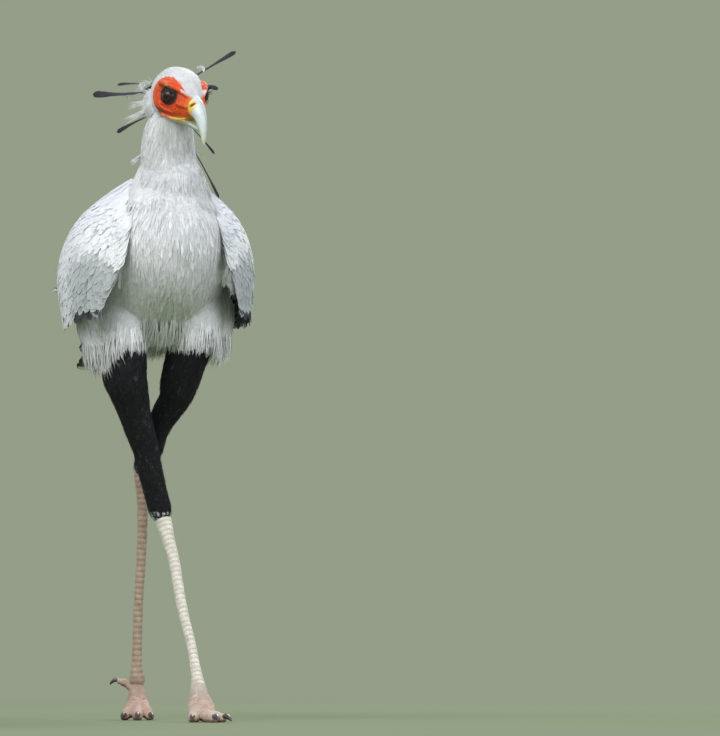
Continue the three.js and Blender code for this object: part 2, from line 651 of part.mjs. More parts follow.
const group = new THREE.Group();
for (const [name, [body, color]] of Object.entries(PARTS)) {
  const mesh = new THREE.Mesh(geometryOf(body), new THREE.MeshStandardMaterial({ color, roughness: 0.8 }));
  mesh.name = name;
  mesh.position.set(-FOOTPRINT_CENTRE.x, -FOOTPRINT_CENTRE.y, 0);
  group.add(mesh);
}

export default group;
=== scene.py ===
"""Secretary bird, life size and walking: its skin, plumage, bare parts, stage and camera."""

import math

import bpy
import numpy as np
from bpy.props import FloatProperty, FloatVectorProperty, IntProperty, PointerProperty
from bpy.types import Operator, Panel, PropertyGroup
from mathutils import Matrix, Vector
from mathutils.kdtree import KDTree

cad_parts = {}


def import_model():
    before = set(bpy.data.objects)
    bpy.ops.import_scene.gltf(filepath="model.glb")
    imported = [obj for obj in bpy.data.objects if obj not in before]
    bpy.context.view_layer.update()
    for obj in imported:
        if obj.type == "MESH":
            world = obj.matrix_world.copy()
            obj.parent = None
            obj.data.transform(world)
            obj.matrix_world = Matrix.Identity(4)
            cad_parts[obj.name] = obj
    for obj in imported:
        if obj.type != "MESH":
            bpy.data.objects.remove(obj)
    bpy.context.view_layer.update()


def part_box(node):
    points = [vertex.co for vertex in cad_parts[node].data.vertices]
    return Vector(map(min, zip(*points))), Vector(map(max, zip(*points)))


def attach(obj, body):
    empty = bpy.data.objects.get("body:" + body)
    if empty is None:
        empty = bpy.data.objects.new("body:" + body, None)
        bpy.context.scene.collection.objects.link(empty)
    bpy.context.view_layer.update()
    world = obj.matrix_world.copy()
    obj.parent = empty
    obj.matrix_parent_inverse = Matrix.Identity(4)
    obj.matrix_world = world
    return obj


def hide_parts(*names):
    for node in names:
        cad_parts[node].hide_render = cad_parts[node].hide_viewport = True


bl_info = {
    "name": "Secretary Bird",
    "version": (1, 0, 0),
    "blender": (4, 5, 0),
    "location": "3D View > Sidebar > Bird",
    "description": "Builds a walking secretary bird over its solid frame",
    "category": "Add Mesh",
}

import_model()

# Forms are written in millimetres from the floor below the hips: +X left, -Y forward, +Z up
BREAST_Y = -170.0
HIPS = np.array([0.0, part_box("torso")[0][1] - BREAST_Y * 0.001, 0.0])
UP = np.array([0.0, 0.0, 1.0])

SIDES = {"left": 1.0, "right": -1.0}
TOES = ("inner", "middle", "outer", "hallux")

# Linear colours
WHITE = np.array([0.80, 0.82, 0.85])
PEARL = np.array([0.56, 0.58, 0.62])
GREY = np.array([0.32, 0.34, 0.38])
MAUVE = np.array([0.30, 0.275, 0.30])
SLATE = np.array([0.075, 0.08, 0.09])
BLACK = np.array([0.0170, 0.0170, 0.0204])

# Parts of the unwrapped sheet that the plumage is baked on, one tile each
TRUNK_REGION, NECK_REGION, LEG_REGION = 0, 1, 2
HEAD_TILE, LASH_TILE, WING_TILES, TAIL_TILE = 6, 7, {1.0: 8, -1.0: 9}, 10
TAIL_COVERT_TILE, CREST_TILE, CURL_TILE, WISP_TILE = 11, 12, 13, 14


def world(points):
    """Millimetres in the bird's own frame, as metres in the scene."""
    return np.asarray(points, dtype=float) * 0.001 + HIPS


def unit(vectors):
    return vectors / np.maximum(np.linalg.norm(vectors, axis=-1, keepdims=True), 1e-9)


def blend(a, b, share):
    return a + (b - a) * share


def step(low, high, value):
    """0 below low, 1 above high, and smooth between."""
    share = np.clip((value - low) / (high - low), 0, 1)
    return share * share * (3 - 2 * share)


def spline(before, start, end, after, share):
    """A smooth way from start to end, from the values on either side of them."""
    return (
        start
        + 0.5 * share * (end - before)
        + share**2 * (before - 2.5 * start + 2 * end - 0.5 * after)
        + share**3 * (1.5 * (start - end) + 0.5 * (after - before))
    )


def curve(rows, at):
    """A smooth curve through rows of values, spaced evenly over 0 to 1."""
    rows = np.asarray(rows, dtype=float)
    place = np.clip(np.asarray(at, dtype=float), 0, 1) * (len(rows) - 1)
    cell = np.minimum(place.astype(int), len(rows) - 2)
    share = (place - cell)[..., None]
    before = rows[np.maximum(cell - 1, 0)]
    start, end = rows[cell], rows[cell + 1]
    after = rows[np.minimum(cell + 2, len(rows) - 1)]
    return spline(before, start, end, after, share)


def through(table, at):
    """Smooth values through a table whose first column is the place."""
    table = np.asarray(table, dtype=float)
    return curve(table[:, 1:], np.interp(at, table[:, 0], np.linspace(0, 1, len(table))))


# Forms, with the same sizes as the solids

TRUNK = [
    [0, -170, 742, 12, 12, 12],
    [0.1, -150, 738, 60, 58, 62],
    [0.25, -108, 728, 90, 88, 96],
    [0.42, -42, 714, 108, 112, 128],
    [0.58, 28, 700, 112, 108, 127],
    [0.74, 98, 690, 96, 92, 106],
    [0.87, 165, 682, 70, 62, 72],
    [0.95, 212, 676, 44, 36, 44],
    [1, 244, 672, 12, 12, 12],
]
NECK = [
    [0, -62, 742, 84, 74],
    [0, -76, 790, 74, 66],
    [0, -84, 822, 57, 60],
    [0, -92, 850, 47, 52],
    [0, -101, 876, 41, 46],
    [0, -114, 906, 35, 40],
    [0, -124, 940, 30, 34],
    [0, -126, 962, 16, 18],
]
# Soft feathered forms over the solids: the crop between neck and breast, the nape, and the flanks over the
# thighs. Each row is a place, a half width and a half depth, and a row of four is as deep as it's wide
CROP = [
    [0, -92, 866, 34, 36],
    [4, -98, 836, 49, 47],
    [5, -98, 806, 62, 53],
    [2, -98, 776, 76, 60],
    [0, -92, 744, 60, 50],
]
NAPE = [[-7, -116, 934, 28, 26], [-10, -108, 906, 33, 36], [-10, -100, 882, 37, 42], [-6, -94, 856, 42, 46]]
FLANKS = {
    "right": [[-60, 30, 672, 28, 40], [-76, 14, 640, 44, 50], [-81, 6, 606, 47, 48], [-78, 2, 574, 38, 40],
              [-73, 0, 552, 26, 30], [-69, 0, 536, 10, 12]],
    "left": [[60, 30, 672, 28, 40], [77, 14, 640, 46, 50], [81, 6, 608, 47, 46], [70, 0, 583, 38, 40],
             [58, -4, 565, 18, 20]],
}
SKULL = [
    [0, -41, 4, 5, 5, 5],
    [0.14, -33, 3, 22, 24, 27],
    [0.32, -14, 1, 33, 42, 38],
    [0.5, 6, 1, 38, 46, 41],
    [0.68, 26, 1, 36, 43, 40],
    [0.84, 42, 0, 27, 31, 33],
    [0.94, 53, -4, 18, 18, 22],
    [1, 60, -6, 7, 7, 8],
]
LEGS = {
    "right": {
        "thigh": [[-50, 20, 668, 20, 20], [-54, 4, 640, 46, 60], [-58, -12, 604, 48, 62], [-57, -14, 572, 42, 54],
                  [-55, -12, 556, 20, 20]],
        "tibia": [[-58, -24, 606, 12, 12], [-56, -16, 572, 38, 48], [-52.6, -10, 533, 38, 46],
                  [-41, 3, 500, 33, 38], [-29.2, 16, 467, 28, 32], [-8.1, 36, 414, 24, 26],
                  [1.3, 48, 383, 21, 23], [12.5, 61, 350, 17, 18], [22, 70, 322, 15, 15], [26, 71, 303, 9, 10]],
        "tarsus": [[24, 74, 322, 8, 8], [26.5, 68, 306, 12.5, 13], [30.8, 42, 269, 9.4, 11],
                   [33.2, 20, 241, 8.6, 10], [33.7, -28, 177, 8, 9.5], [38.8, -72, 117, 7.4, 9],
                   [39.6, -95, 85, 7.8, 9.5], [39.8, -112, 62, 10, 11.5], [39, -124, 44, 13, 13],
                   [38, -128, 30, 7, 7]],
        "pad": [[39, -112, 34, 9, 9], [38.5, -128, 21, 15, 16], [39, -142, 14, 16, 12], [40, -154, 10, 8, 8]],
        "inner": [[46, -136, 14, 9], [54, -150, 10.5, 9.5], [60, -164, 8.5, 8.5], [65, -177, 8, 6.5],
                  [67, -182, 8, 4]],
        "middle": [[41, -146, 14, 9], [43, -164, 10.5, 10.5], [44.5, -181, 9, 9.5], [46, -197, 8, 7.5],
                   [46.5, -203, 8, 4.5]],
        "outer": [[32, -136, 14, 9], [26, -151, 10.5, 9.5], [22, -165, 8.5, 8.5], [18, -178, 8, 6.5],
                  [16.5, -183, 8, 4]],
        "hallux": [[42, -114, 24, 7], [47, -104, 20, 6.5], [51, -95, 15, 6], [54, -88, 11, 4.5], [55, -85, 10, 3]],
        "claws": {
            "inner": [[66, -180, 9, 4], [69, -186, 9, 4], [71.5, -193, 6.5, 3], [73, -199, 2.6, 1]],
            "middle": [[46.3, -201, 9, 4.5], [47, -209, 9, 4.5], [47.5, -217, 6.6, 3.2], [48, -223, 2.6, 1]],
            "outer": [[17, -181, 9, 4], [14.5, -187, 9, 4], [12.5, -194, 6.5, 3], [11, -200, 2.6, 1]],
            "hallux": [[54.6, -86, 11, 3], [57, -81, 10, 3.4], [60, -76, 6, 2.4], [61.5, -74, 2.4, 0.9]],
        },
    },
    "left": {
        "thigh": [[50, 10, 672, 20, 20], [55, -8, 644, 46, 60], [58, -22, 610, 47, 60], [56, -20, 582, 42, 52],
                  [54, -16, 566, 20, 20]],
        "tibia": [[58, -34, 614, 12, 12], [55, -22, 588, 37, 46], [47.6, -5, 559, 36, 44], [41.2, 27, 512, 32, 38],
                  [38, 40, 493, 28, 32], [18.8, 70, 449, 22, 25], [12.8, 91, 418, 19, 20], [6.5, 108, 393, 14, 15],
                  [4, 116, 374, 9, 10]],
        "tarsus": [[3.5, 119, 390, 8, 8], [3.8, 118, 374, 12, 13], [5, 119, 340, 9, 10.5],
                   [5.4, 121, 292, 7.8, 9.4], [3.8, 123, 246, 7.5, 9.2], [0.5, 126.6, 177, 7.2, 9],
                   [-0.8, 130, 108, 7.6, 9.2], [-1, 131.4, 80, 9, 10.5], [-0.3, 132, 62, 12.5, 12],
                   [0, 132, 48, 7, 7]],
        "pad": [[-0.5, 133, 56, 8, 8], [-1, 130, 40, 14, 14], [-2.5, 119, 27, 15, 12], [-4, 108, 19, 7, 7]],
        "inner": [[-9, 120, 28, 8.5], [-18, 106, 18, 9], [-25, 94, 10.5, 8], [-31, 82, 8, 6.5], [-33, 77, 8, 4]],
        "middle": [[-3.5, 116, 26, 9], [-7, 100, 17, 10], [-10.5, 84, 10.5, 9.5], [-13.5, 69, 8.5, 7.5],
                   [-14.5, 64, 8, 4.5]],
        "outer": [[5, 120, 28, 8.5], [7, 105, 18, 9], [8, 93, 10.5, 8], [8.5, 81, 8, 6.5], [8.5, 76, 8, 4]],
        "hallux": [[-6, 136, 50, 6.5], [-14, 141, 56, 6], [-21, 145, 60, 5.5], [-26, 148, 61, 4.2],
                   [-28, 149, 61, 3]],
        "claws": {
            "inner": [[-32, 79, 9, 4], [-35, 73, 9, 4], [-38, 66.5, 6.5, 3], [-40, 61, 2.6, 1]],
            "middle": [[-14, 66, 9, 4.5], [-16, 58.5, 9, 4.5], [-18, 51, 6.6, 3.2], [-19, 45, 2.6, 1]],
            "outer": [[8.5, 78, 9, 4], [8.4, 71, 9, 4], [8, 64, 6.5, 3], [7.5, 58, 2.6, 1]],
            "hallux": [[-27.5, 148.8, 61, 3], [-31, 150, 61, 3.2], [-36, 151, 57.5, 2.2], [-38.5, 151.5, 54, 0.9]],
        },
    },
}
WING = [
    [[58, -98, 802], [80, -124, 748], [94, -124, 688], [112, -100, 624]],
    [[50, -55, 828], [112, -64, 768], [138, -62, 700], [139, -50, 610]],
    [[42, 20, 824], [118, 20, 766], [148, 20, 690], [138, 25, 596]],
    [[36, 110, 790], [100, 110, 746], [127, 115, 680], [118, 120, 600]],
    [[26, 210, 750], [66, 212, 724], [92, 218, 682], [92, 225, 630]],
    [[14, 330, 722], [38, 335, 712], [54, 340, 694], [54, 345, 668]],
]

# The plump rump where the tail grows
RUMP, RUMP_WAY = np.array([0, 205, 664]), np.array([0.093, 0.971, -0.216])
RUMP_WIDTH, RUMP_TOP, RUMP_BOTTOM = 34, 18, 20

# The head: forward, leftward and upward from the middle of the skull
HEAD_TURN, HEAD_PITCH = math.radians(24), math.radians(9)
HEAD_CENTRE = np.array([0.0, -132.0, 952.0])
FORWARD = np.array([
    math.sin(HEAD_TURN) * math.cos(HEAD_PITCH),
    -math.cos(HEAD_TURN) * math.cos(HEAD_PITCH),
    -math.sin(HEAD_PITCH),
])
LEFTWARD = unit(np.cross(UP, FORWARD))
UPWARD = unit(np.cross(FORWARD, LEFTWARD))
EYE_RADIUS = 12.0
EYE_PLACE = (26, 29.5, 6)


def on_head(points):
    """Forward, left and up on the head, as a place in the bird's frame."""
    return HEAD_CENTRE + np.asarray(points, dtype=float) @ np.stack([FORWARD, LEFTWARD, UPWARD])


def from_head(points):
    """The same, the other way round."""
    return (np.asarray(points) - HEAD_CENTRE) @ np.stack([FORWARD, LEFTWARD, UPWARD]).T


def eye_frame(side):
    """The middle of an eyeball, the way that it looks, and the ways across and up it."""
    forward, aside, up = EYE_PLACE
    out = unit(0.42 * FORWARD + side * LEFTWARD)
    across = unit(np.cross(UPWARD, out))
    return on_head([forward, aside * side, up]), out, across, np.cross(out, across)


# Surfaces

def rings(centre, along, upwards, width, top, bottom, columns):
    """Points on rings round a path."""
    along = unit(along)
    up = unit(upwards - along * np.sum(upwards * along, axis=-1, keepdims=True))
    side = np.cross(up, along)
    turn = np.linspace(0, 2 * np.pi, columns, endpoint=False)
    c, s = np.cos(turn), np.sin(turn)
    tall = np.where(s[None, :] > 0, top[:, None], bottom[:, None])
    return (
        centre[:, None]
        + side[:, None] * (c[None, :, None] * width[:, None, None])
        + up[:, None] * (s[None, :] * tall)[..., None]
    )


def egg(table, rows, inset, least):
    """The two places and the half sizes of rings along a rounded form, closer together at its ends."""
    v = (1 - np.cos(np.linspace(0.02, np.pi - 0.02, rows))) / 2
    first, second, *sizes = through(table, v).T
    return first, second, [np.maximum(size - inset, least) for size in sizes]


def trunk_rings(rows, columns, inset):
    y, z, sizes = egg(TRUNK, rows, inset, 2)
    centre = np.stack([0 * y, y, z], axis=-1)
    return rings(centre, np.tile([0.0, 1.0, 0.0], (rows, 1)), UP, *sizes, columns)


def skull_rings(rows, columns, inset):
    f, u, sizes = egg(SKULL, rows, inset, 1)
    centre = on_head(np.stack([f, 0 * f, u], axis=-1))
    return rings(centre, np.tile(FORWARD, (rows, 1)), UPWARD, *sizes, columns)


def full_rows(rows):
    """Rows of x, y, z, half width and half depth."""
    return np.asarray([row if len(row) == 5 else [*row, row[3]] for row in rows], dtype=float)


def limb_rings(points, rows, columns, inset=0.0, upwards=(0.0, -1.0, 0.0), shape=None):
    """Rings along a limb, rounded off at its ends."""
    v = np.linspace(0, 1, rows)
    values = curve(full_rows(points), v)
    ends = np.sqrt(np.clip(1 - np.maximum(0, np.abs(v - 0.5) * 2 - 0.94) ** 2 / 0.0037, 0.0, 1))
    size = np.maximum((values[:, 3:] - inset) * ends[:, None], 0.2)
    along = np.gradient(values[:, :3], axis=0)
    if shape is not None:
        size = size + shape(v)[:, None]
    return rings(values[:, :3], along, np.asarray(upwards), size[:, 0], size[:, 1], size[:, 1], columns)


def wing_point(s, t, side):
    """A place on the outside of the folded wing: s from front to tip, t from back to lower edge."""
    ribs = np.asarray(WING, dtype=float)
    across = np.stack([curve(rib, t) for rib in ribs])
    shape = np.shape(s)
    flat = across.reshape(len(ribs), -1, 3)
    place = np.clip(np.ravel(s), 0, 1) * (len(ribs) - 1)
    cell = np.minimum(place.astype(int), len(ribs) - 2)
    share = (place - cell)[:, None]
    column = np.arange(flat.shape[1])
    before, start = flat[np.maximum(cell - 1, 0), column], flat[cell, column]
    end, after = flat[cell + 1, column], flat[np.minimum(cell + 2, len(ribs) - 1), column]
    point = spline(before, start, end, after, share)
    return (point * [side, 1, 1]).reshape(*shape, 3)


def wing_face(s, t, side):
    small = 0.01
    back = wing_point(np.minimum(s + small, 1), t, side) - wing_point(np.maximum(s - small, 0), t, side)
    down = wing_point(s, np.minimum(t + small, 1), side) - wing_point(s, np.maximum(t - small, 0), side)
    return wing_point(s, t, side), unit(np.cross(down, back) * side)


# Meshes from arrays

def floats(values):
    return np.asarray(values).astype(np.float32).ravel()


def paint(mesh, layer, colours):
    values = np.concatenate([colours, np.ones((len(colours), 1))], axis=1)
    mesh.color_attributes.new(layer, "FLOAT_COLOR", "POINT").data.foreach_set("color", floats(values))


def new_mesh(name, points, faces, uvs=None, colours=None, shading=None):
    """An object from points in the bird's frame, faces of three or four corners, and values at each point."""
    faces = np.asarray(faces, dtype=np.int32)
    mesh = bpy.data.meshes.new(name)
    mesh.vertices.add(len(points))
    mesh.vertices.foreach_set("co", floats(world(points)))
    mesh.loops.add(faces.size)
    mesh.loops.foreach_set("vertex_index", faces.ravel())
    mesh.polygons.add(len(faces))
    mesh.polygons.foreach_set("loop_start", np.arange(len(faces), dtype=np.int32) * faces.shape[1])
    mesh.polygons.foreach_set("loop_total", np.full(len(faces), faces.shape[1], dtype=np.int32))
    mesh.polygons.foreach_set("use_smooth", np.ones(len(faces), dtype=bool))
    for layer, values in (uvs or {}).items():
        mesh.uv_layers.new(name=layer).data.foreach_set("uv", floats(values[faces.ravel()]))
    for layer, values in (colours or {}).items():
        paint(mesh, layer, values)
    mesh.update(calc_edges=True)
    mesh.validate()
    if shading is not None:
        mesh.normals_split_custom_set_from_vertices(shading)
    thing = bpy.data.objects.new(name, mesh)
    bpy.context.scene.collection.objects.link(thing)
    return thing


def ring_faces(rows, columns):
    """Quads between neighbouring rings, each as four numbers of points."""
    i = np.arange(rows - 1)[:, None] * columns
    j = np.arange(columns)[None, :]
    k = (j + 1) % columns
    return np.stack([i + j, i + k, i + columns + k, i + columns + j], axis=-1).reshape(-1, 4)


def tube(ring):
    """Closed points and triangles from rings of points."""
    rows, columns = ring.shape[:2]
    points = np.concatenate([ring.reshape(-1, 3), [ring[0].mean(axis=0), ring[-1].mean(axis=0)]])
    quads = ring_faces(rows, columns)
    j = np.arange(columns)
    k = (j + 1) % columns
    end = (rows - 1) * columns
    first = np.stack([k, j, np.full(columns, rows * columns)], axis=-1)
    last = np.stack([end + j, end + k, np.full(columns, rows * columns + 1)], axis=-1)
    return points, np.concatenate([quads[:, [0, 1, 2]], quads[:, [0, 2, 3]], first, last])


def joined(parts):
    """Several closed bodies' points and triangles as one."""
    points, faces, count = [], [], 0
    for some, triangles in parts:
        points.append(some)
        faces.append(triangles + count)
        count += len(some)
    return np.concatenate(points), np.concatenate(faces)


def only(thing):
    bpy.ops.object.select_all(action="DESELECT")
    thing.select_set(True)
    bpy.context.view_layer.objects.active = thing


def outward(thing):
    """Turn every face of a piece outwards."""
    only(thing)
    bpy.ops.object.mode_set(mode="EDIT")
    bpy.ops.mesh.select_all(action="SELECT")
    bpy.ops.mesh.normals_make_consistent(inside=False)
    bpy.ops.object.mode_set(mode="OBJECT")


def fused(thing, voxel, smoothing):
    """One smooth skin from overlapping closed bodies."""
    only(thing)
    remesh = thing.modifiers.new("Fuse", "REMESH")
    remesh.mode = "VOXEL"
    remesh.voxel_size = voxel
    remesh.use_smooth_shade = True
    bpy.ops.object.modifier_apply(modifier=remesh.name)
    smooth = thing.modifiers.new("Relax", "SMOOTH")
    smooth.factor = 0.5
    smooth.iterations = smoothing
    bpy.ops.object.modifier_apply(modifier=smooth.name)


def mesh_points(thing):
    """The points of a piece in the bird's frame, and their normals."""
    mesh = thing.data
    points = np.empty(len(mesh.vertices) * 3, dtype=np.float32)
    normals = np.empty_like(points)
    mesh.vertices.foreach_get("co", points)
    mesh.vertices.foreach_get("normal", normals)
    return (points.reshape(-1, 3) - HIPS) * 1000, normals.reshape(-1, 3).astype(float)


def finish(thing, slot, material, *nodes):
    """Give a piece its material, hang it from the root, and hide the solids that it stands for."""
    thing.data.materials.clear()
    thing.data.materials.append(material)
    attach(thing, "root")
    if nodes:
        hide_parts(*nodes)


# Plumage from arrays

PATCH = 0.003  # side of a feather's patch on the baked map
PIECE_TRIANGLES = 180000


def region_uv(tile, around, along):
    """A place on the unwrapped skin: one tile of a four by four sheet for each part of the body."""
    column, row = tile % 4, tile // 4
    across = column + 0.02 + 0.94 * around
    up = row + 0.02 + 0.94 * np.clip(along, 0, 1)
    return np.stack([across / 4, up / 4], axis=-1)


def straight_lines(root, way, normal, length, rows, rise, sag):
    """Midlines that leave the skin along way, rise off it and bend back, each with its normals."""
    v = np.linspace(0, 1, rows + 1)[None, :, None]
    length = np.asarray(length)[:, None, None]
    rise, sag = np.asarray(rise)[..., None, None], np.asarray(sag)[..., None, None]
    line = root[:, None] + way[:, None] * (length * v)
    line = line + normal[:, None] * (length * (rise * v - sag * v * v) - 1.2 * (1 - v))
    facing = np.repeat(normal[:, None], rows + 1, axis=1)
    return line, facing


def closest(points, places):
    """For each place, the number of the closest point and how far off it is."""
    tree = KDTree(len(points))
    for number, point in enumerate(points):
        tree.insert(point, number)
    tree.balance()
    numbers, distances = zip(*(tree.find(place)[1:] for place in places))
    return np.array(numbers), np.array(distances)


def droop(points, normals, root, way, normal, length, clearance):
    """How far, as a share of their length, straight lines from each root must bend to end near the skin."""
    tips = root + way * length[:, None]
    near, _ = closest(points, tips)
    above = np.einsum("ij,ij->i", tips - points[near], normals[near])
    above = above / np.maximum(np.einsum("ij,ij->i", normal, normals[near]), 0.4)
    return np.clip(above - clearance, 0, 0.5 * length) / length


class Plumage:
    """Feathers gathered as closed meshes of a few shapes, then written as one piece."""

    def __init__(self):
        self.batches = []

    def add(self, points, faces, colours, vane, bake, shading):
        """All but the faces have one row for a feather. The faces are those of one feather."""
        number, corners = points.shape[:2]
        most = max(PIECE_TRIANGLES // len(faces), 1)
        for start in range(0, number, most):
            some = slice(start, start + most)
            count = len(points[some])
            offset = np.arange(count)[:, None, None] * corners
            self.batches.append((
                points[some].reshape(-1, 3),
                (faces[None] + offset).reshape(-1, 3),
                colours[some].reshape(-1, 3),
                vane[some].reshape(-1, 2),
                bake[some].reshape(-1, 2),
                shading[some].reshape(-1, 3),
            ))

    def vanes(self, line, facing, half, tint, bake, columns=4, thick=0.5, cup=0.12, roll=0.0, crisp=1.0):
        """Feathers with a webbed vane on each side of a midline.

        crisp is how far their shading follows their own form, and not the form of the body under them."""
        number, stations = line.shape[:2]
        rows = stations - 1
        across = np.linspace(-1, 1, columns + 1)
        along = np.linspace(0, 1, stations)
        tangent = unit(np.gradient(line, axis=1))
        side = unit(np.cross(tangent, facing))
        normal = np.cross(side, tangent)
        half = half if half.ndim == 3 else np.repeat(half[..., None], 2, axis=2)
        reach = np.where(across[None, None] < 0, half[..., :1], half[..., 1:]) * across[None, None]
        fall = -np.abs(reach) * cup + reach * np.reshape(roll, (-1, 1, 1))
        sheet = line[:, :, None] + side[:, :, None] * reach[..., None] + normal[:, :, None] * fall[..., None]
        body = 0.5 * thick * (1 - np.abs(across) ** 2)[None, :] * (1 - 0.6 * along)[:, None]
        upper = sheet + normal[:, :, None] * body[None, :, :, None]
        lower = sheet - normal[:, :, None] * body[None, :, :, None]
        index = np.arange(stations * (columns + 1)).reshape(stations, columns + 1)
        inner = np.zeros_like(index, dtype=bool)
        inner[:, 1:-1] = True
        under = index.copy()
        under[inner] = index.size + np.arange(inner.sum())
        quads = []
        for grid, turned in ((index, False), (under, True)):
            a, b, c, d = grid[:-1, :-1], grid[:-1, 1:], grid[1:, 1:], grid[1:, :-1]
            corners = (a, d, c, b) if turned else (a, b, c, d)
            quads.append(np.stack(corners, axis=-1).reshape(-1, 4))
        quads = np.concatenate(quads)
        faces = np.concatenate([quads[:, [0, 1, 2]], quads[:, [0, 2, 3]], self.cap(index, under, 0)[:, ::-1],
                                self.cap(index, under, rows)])
        flat = np.concatenate([upper.reshape(number, -1, 3), lower[:, inner].reshape(number, -1, 3)], axis=1)
        grid_across = np.broadcast_to(across, index.shape)
        grid_along = np.broadcast_to(along[:, None], index.shape)
        place = np.concatenate([np.stack([grid_across, grid_along], axis=-1).reshape(-1, 2),
                                np.stack([grid_across[inner], grid_along[inner]], axis=-1)])
        colours = tint(place[:, 0], place[:, 1])
        vane = np.broadcast_to(place * [0.5, 1] + [0.5, 0], (number, len(place), 2))
        patch = bake[:, None] + (place * [0.5, 1])[None] * PATCH
        lean = 0.35 * across[None, None, :, None] * side[:, :, None] + normal[:, :, None]
        top = unit(blend(facing[:, :, None], lean, crisp)).reshape(number, -1, 3)
        shading = np.concatenate([top, -top[:, inner.ravel()]], axis=1)
        self.add(flat, faces, np.broadcast_to(colours, flat.shape), vane, patch, shading)

    @staticmethod
    def cap(index, under, row):
        """Triangles that close one end between the upper and the lower face."""
        top, bottom = index[row], under[row]
        found = []
        for i in range(len(top) - 1):
            if top[i + 1] != bottom[i + 1]:
                found.append([top[i], top[i + 1], bottom[i + 1]])
            if top[i] != bottom[i]:
                found.append([top[i], bottom[i + 1], bottom[i]])
        return np.array(found)

    def strands(self, line, facing, half, tint, bake, thick=0.35):
        """Thin tapered barbs of three sides."""
        number, stations = line.shape[:2]
        tangent = unit(np.gradient(line, axis=1))
        side = unit(np.cross(tangent, facing))
        normal = np.cross(side, tangent)
        taper = half[..., None]
        ridge = np.minimum(half, thick)[..., None]
        ring = np.stack([line - side * taper, line + side * taper, line + normal * ridge], axis=2)
        quads = ring_faces(stations, 3)
        last = stations * 3
        caps = [[0, 1, 2], [last - 3, last - 1, last - 2]]
        faces = np.concatenate([quads[:, [0, 2, 1]], quads[:, [0, 3, 2]], caps])
        along = np.repeat(np.linspace(0, 1, stations), 3)
        across = np.tile([-1.0, 1.0, 0.0], stations)
        place = np.stack([across, along], axis=-1)
        colours = tint(across, along)
        vane = np.broadcast_to(place * [0.5, 1] + [0.5, 0], (number, stations * 3, 2))
        patch = bake[:, None] + (place * [0.5, 1])[None] * PATCH
        shading = unit(np.stack([facing - 0.2 * side, facing + 0.2 * side, facing], axis=2))
        colours = np.broadcast_to(colours, (number, stations * 3, 3))
        self.add(ring.reshape(number, -1, 3), faces, colours, vane, patch, shading.reshape(number, -1, 3))

    def pieces(self, name, slot, material, *nodes):
        """Write the feathers as pieces of a size that every tool takes."""
        groups, size = [[]], 0
        for batch in self.batches:
            if groups[-1] and size + len(batch[1]) > PIECE_TRIANGLES:
                groups.append([])
                size = 0
            groups[-1].append(batch)
            size += len(batch[1])
        for number, group in enumerate(groups):
            offsets = np.cumsum([0, *(len(batch[0]) for batch in group)])
            points, _, colours, vane, bake, shading = (np.concatenate(part) for part in zip(*group))
            faces = np.concatenate([batch[1] + offset for batch, offset in zip(group, offsets)])
            piece = new_mesh(f"{name}_{number + 1}", points, faces, {"Vane": vane, "OFBake": bake},
                             {"Plumage": colours}, shading)
            finish(piece, slot, material, *nodes)


def graded(base, tip, edge=None, power=1.5):
    """A colour for each feather that changes from root to tip, and towards its edges."""

    def tint(across, along):
        share = (along**power)[None, :, None]
        colour = blend(base[:, None], tip[:, None], share)
        if edge is not None:
            rim = (np.maximum(np.abs(across) ** 3, along**6))[None, :, None]
            colour = blend(colour, edge[:, None], rim)
        return colour

    return tint


def contour_outline(rows):
    """Half widths of a small body feather: slim at its root and round at its tip."""
    v = np.linspace(0, 1, rows + 1)
    swell = np.where(v < 0.6, blend(0.42, 1, v / 0.6), 1)
    return swell * np.sqrt(np.clip(1 - (np.maximum(v - 0.6, 0) / 0.405) ** 2, 0, 1))


def long_outline(rows):
    """Half widths of a flight feather: straight, with a blunt tip."""
    v = np.linspace(0, 1, rows + 1)
    swell = np.where(v < 0.4, blend(0.5, 1, v / 0.4), 1)
    return swell * np.sqrt(np.clip(1 - (np.maximum(v - 0.86, 0) / 0.142) ** 2, 0, 1))


def strand_outline(rows):
    """Half widths of a single barb, tapered to a point."""
    v = np.linspace(0, 1, rows + 1)
    return np.clip(1 - v**1.6, 0.06, 1) * blend(0.7, 1, np.minimum(v * 4, 1))


def ragged(rng, half, amount):
    """Half widths on each side with small splits between the barbs."""
    both = np.repeat(half[..., None], 2, axis=2)
    return both * (1 - amount * rng.random(both.shape) ** 3)


def scattered(rng, points, normals, triangles, spacing, many):
    """Places spread evenly at random over a mesh, no two closer than the spacing, with their normals."""
    a, b, c = (points[triangles[:, i]] for i in range(3))
    area = 0.5 * np.linalg.norm(np.cross(b - a, c - a), axis=1)
    chosen = rng.choice(len(triangles), size=many, p=area / area.sum())
    first = np.sqrt(rng.random(many))[:, None]
    second = rng.random(many)[:, None]
    mix = (1 - first, first * (1 - second), first * second)
    place = sum(share * points[triangles[chosen, i]] for i, share in enumerate(mix))
    normal = unit(sum(share * normals[triangles[chosen, i]] for i, share in enumerate(mix)))
    cell = {}
    kept = []
    gap = np.broadcast_to(spacing(place, normal) if callable(spacing) else spacing, (many,))
    coarse = float(gap.max())
    keys = np.floor(place / coarse).astype(int)
    around = [(i, j, k) for i in (-1, 0, 1) for j in (-1, 0, 1) for k in (-1, 0, 1)]
    for i in range(many):
        x, y, z = key = tuple(keys[i])
        near = [n for dx, dy, dz in around for n in cell.get((x + dx, y + dy, z + dz), ())]
        if near:
            apart = place[near] - place[i]
            if np.min(np.einsum("ij,ij->i", apart, apart)) < gap[i] ** 2:
                continue
        cell.setdefault(key, []).append(i)
        kept.append(i)
    return place[kept], normal[kept]


# Materials

FULL_TURN = 6.283


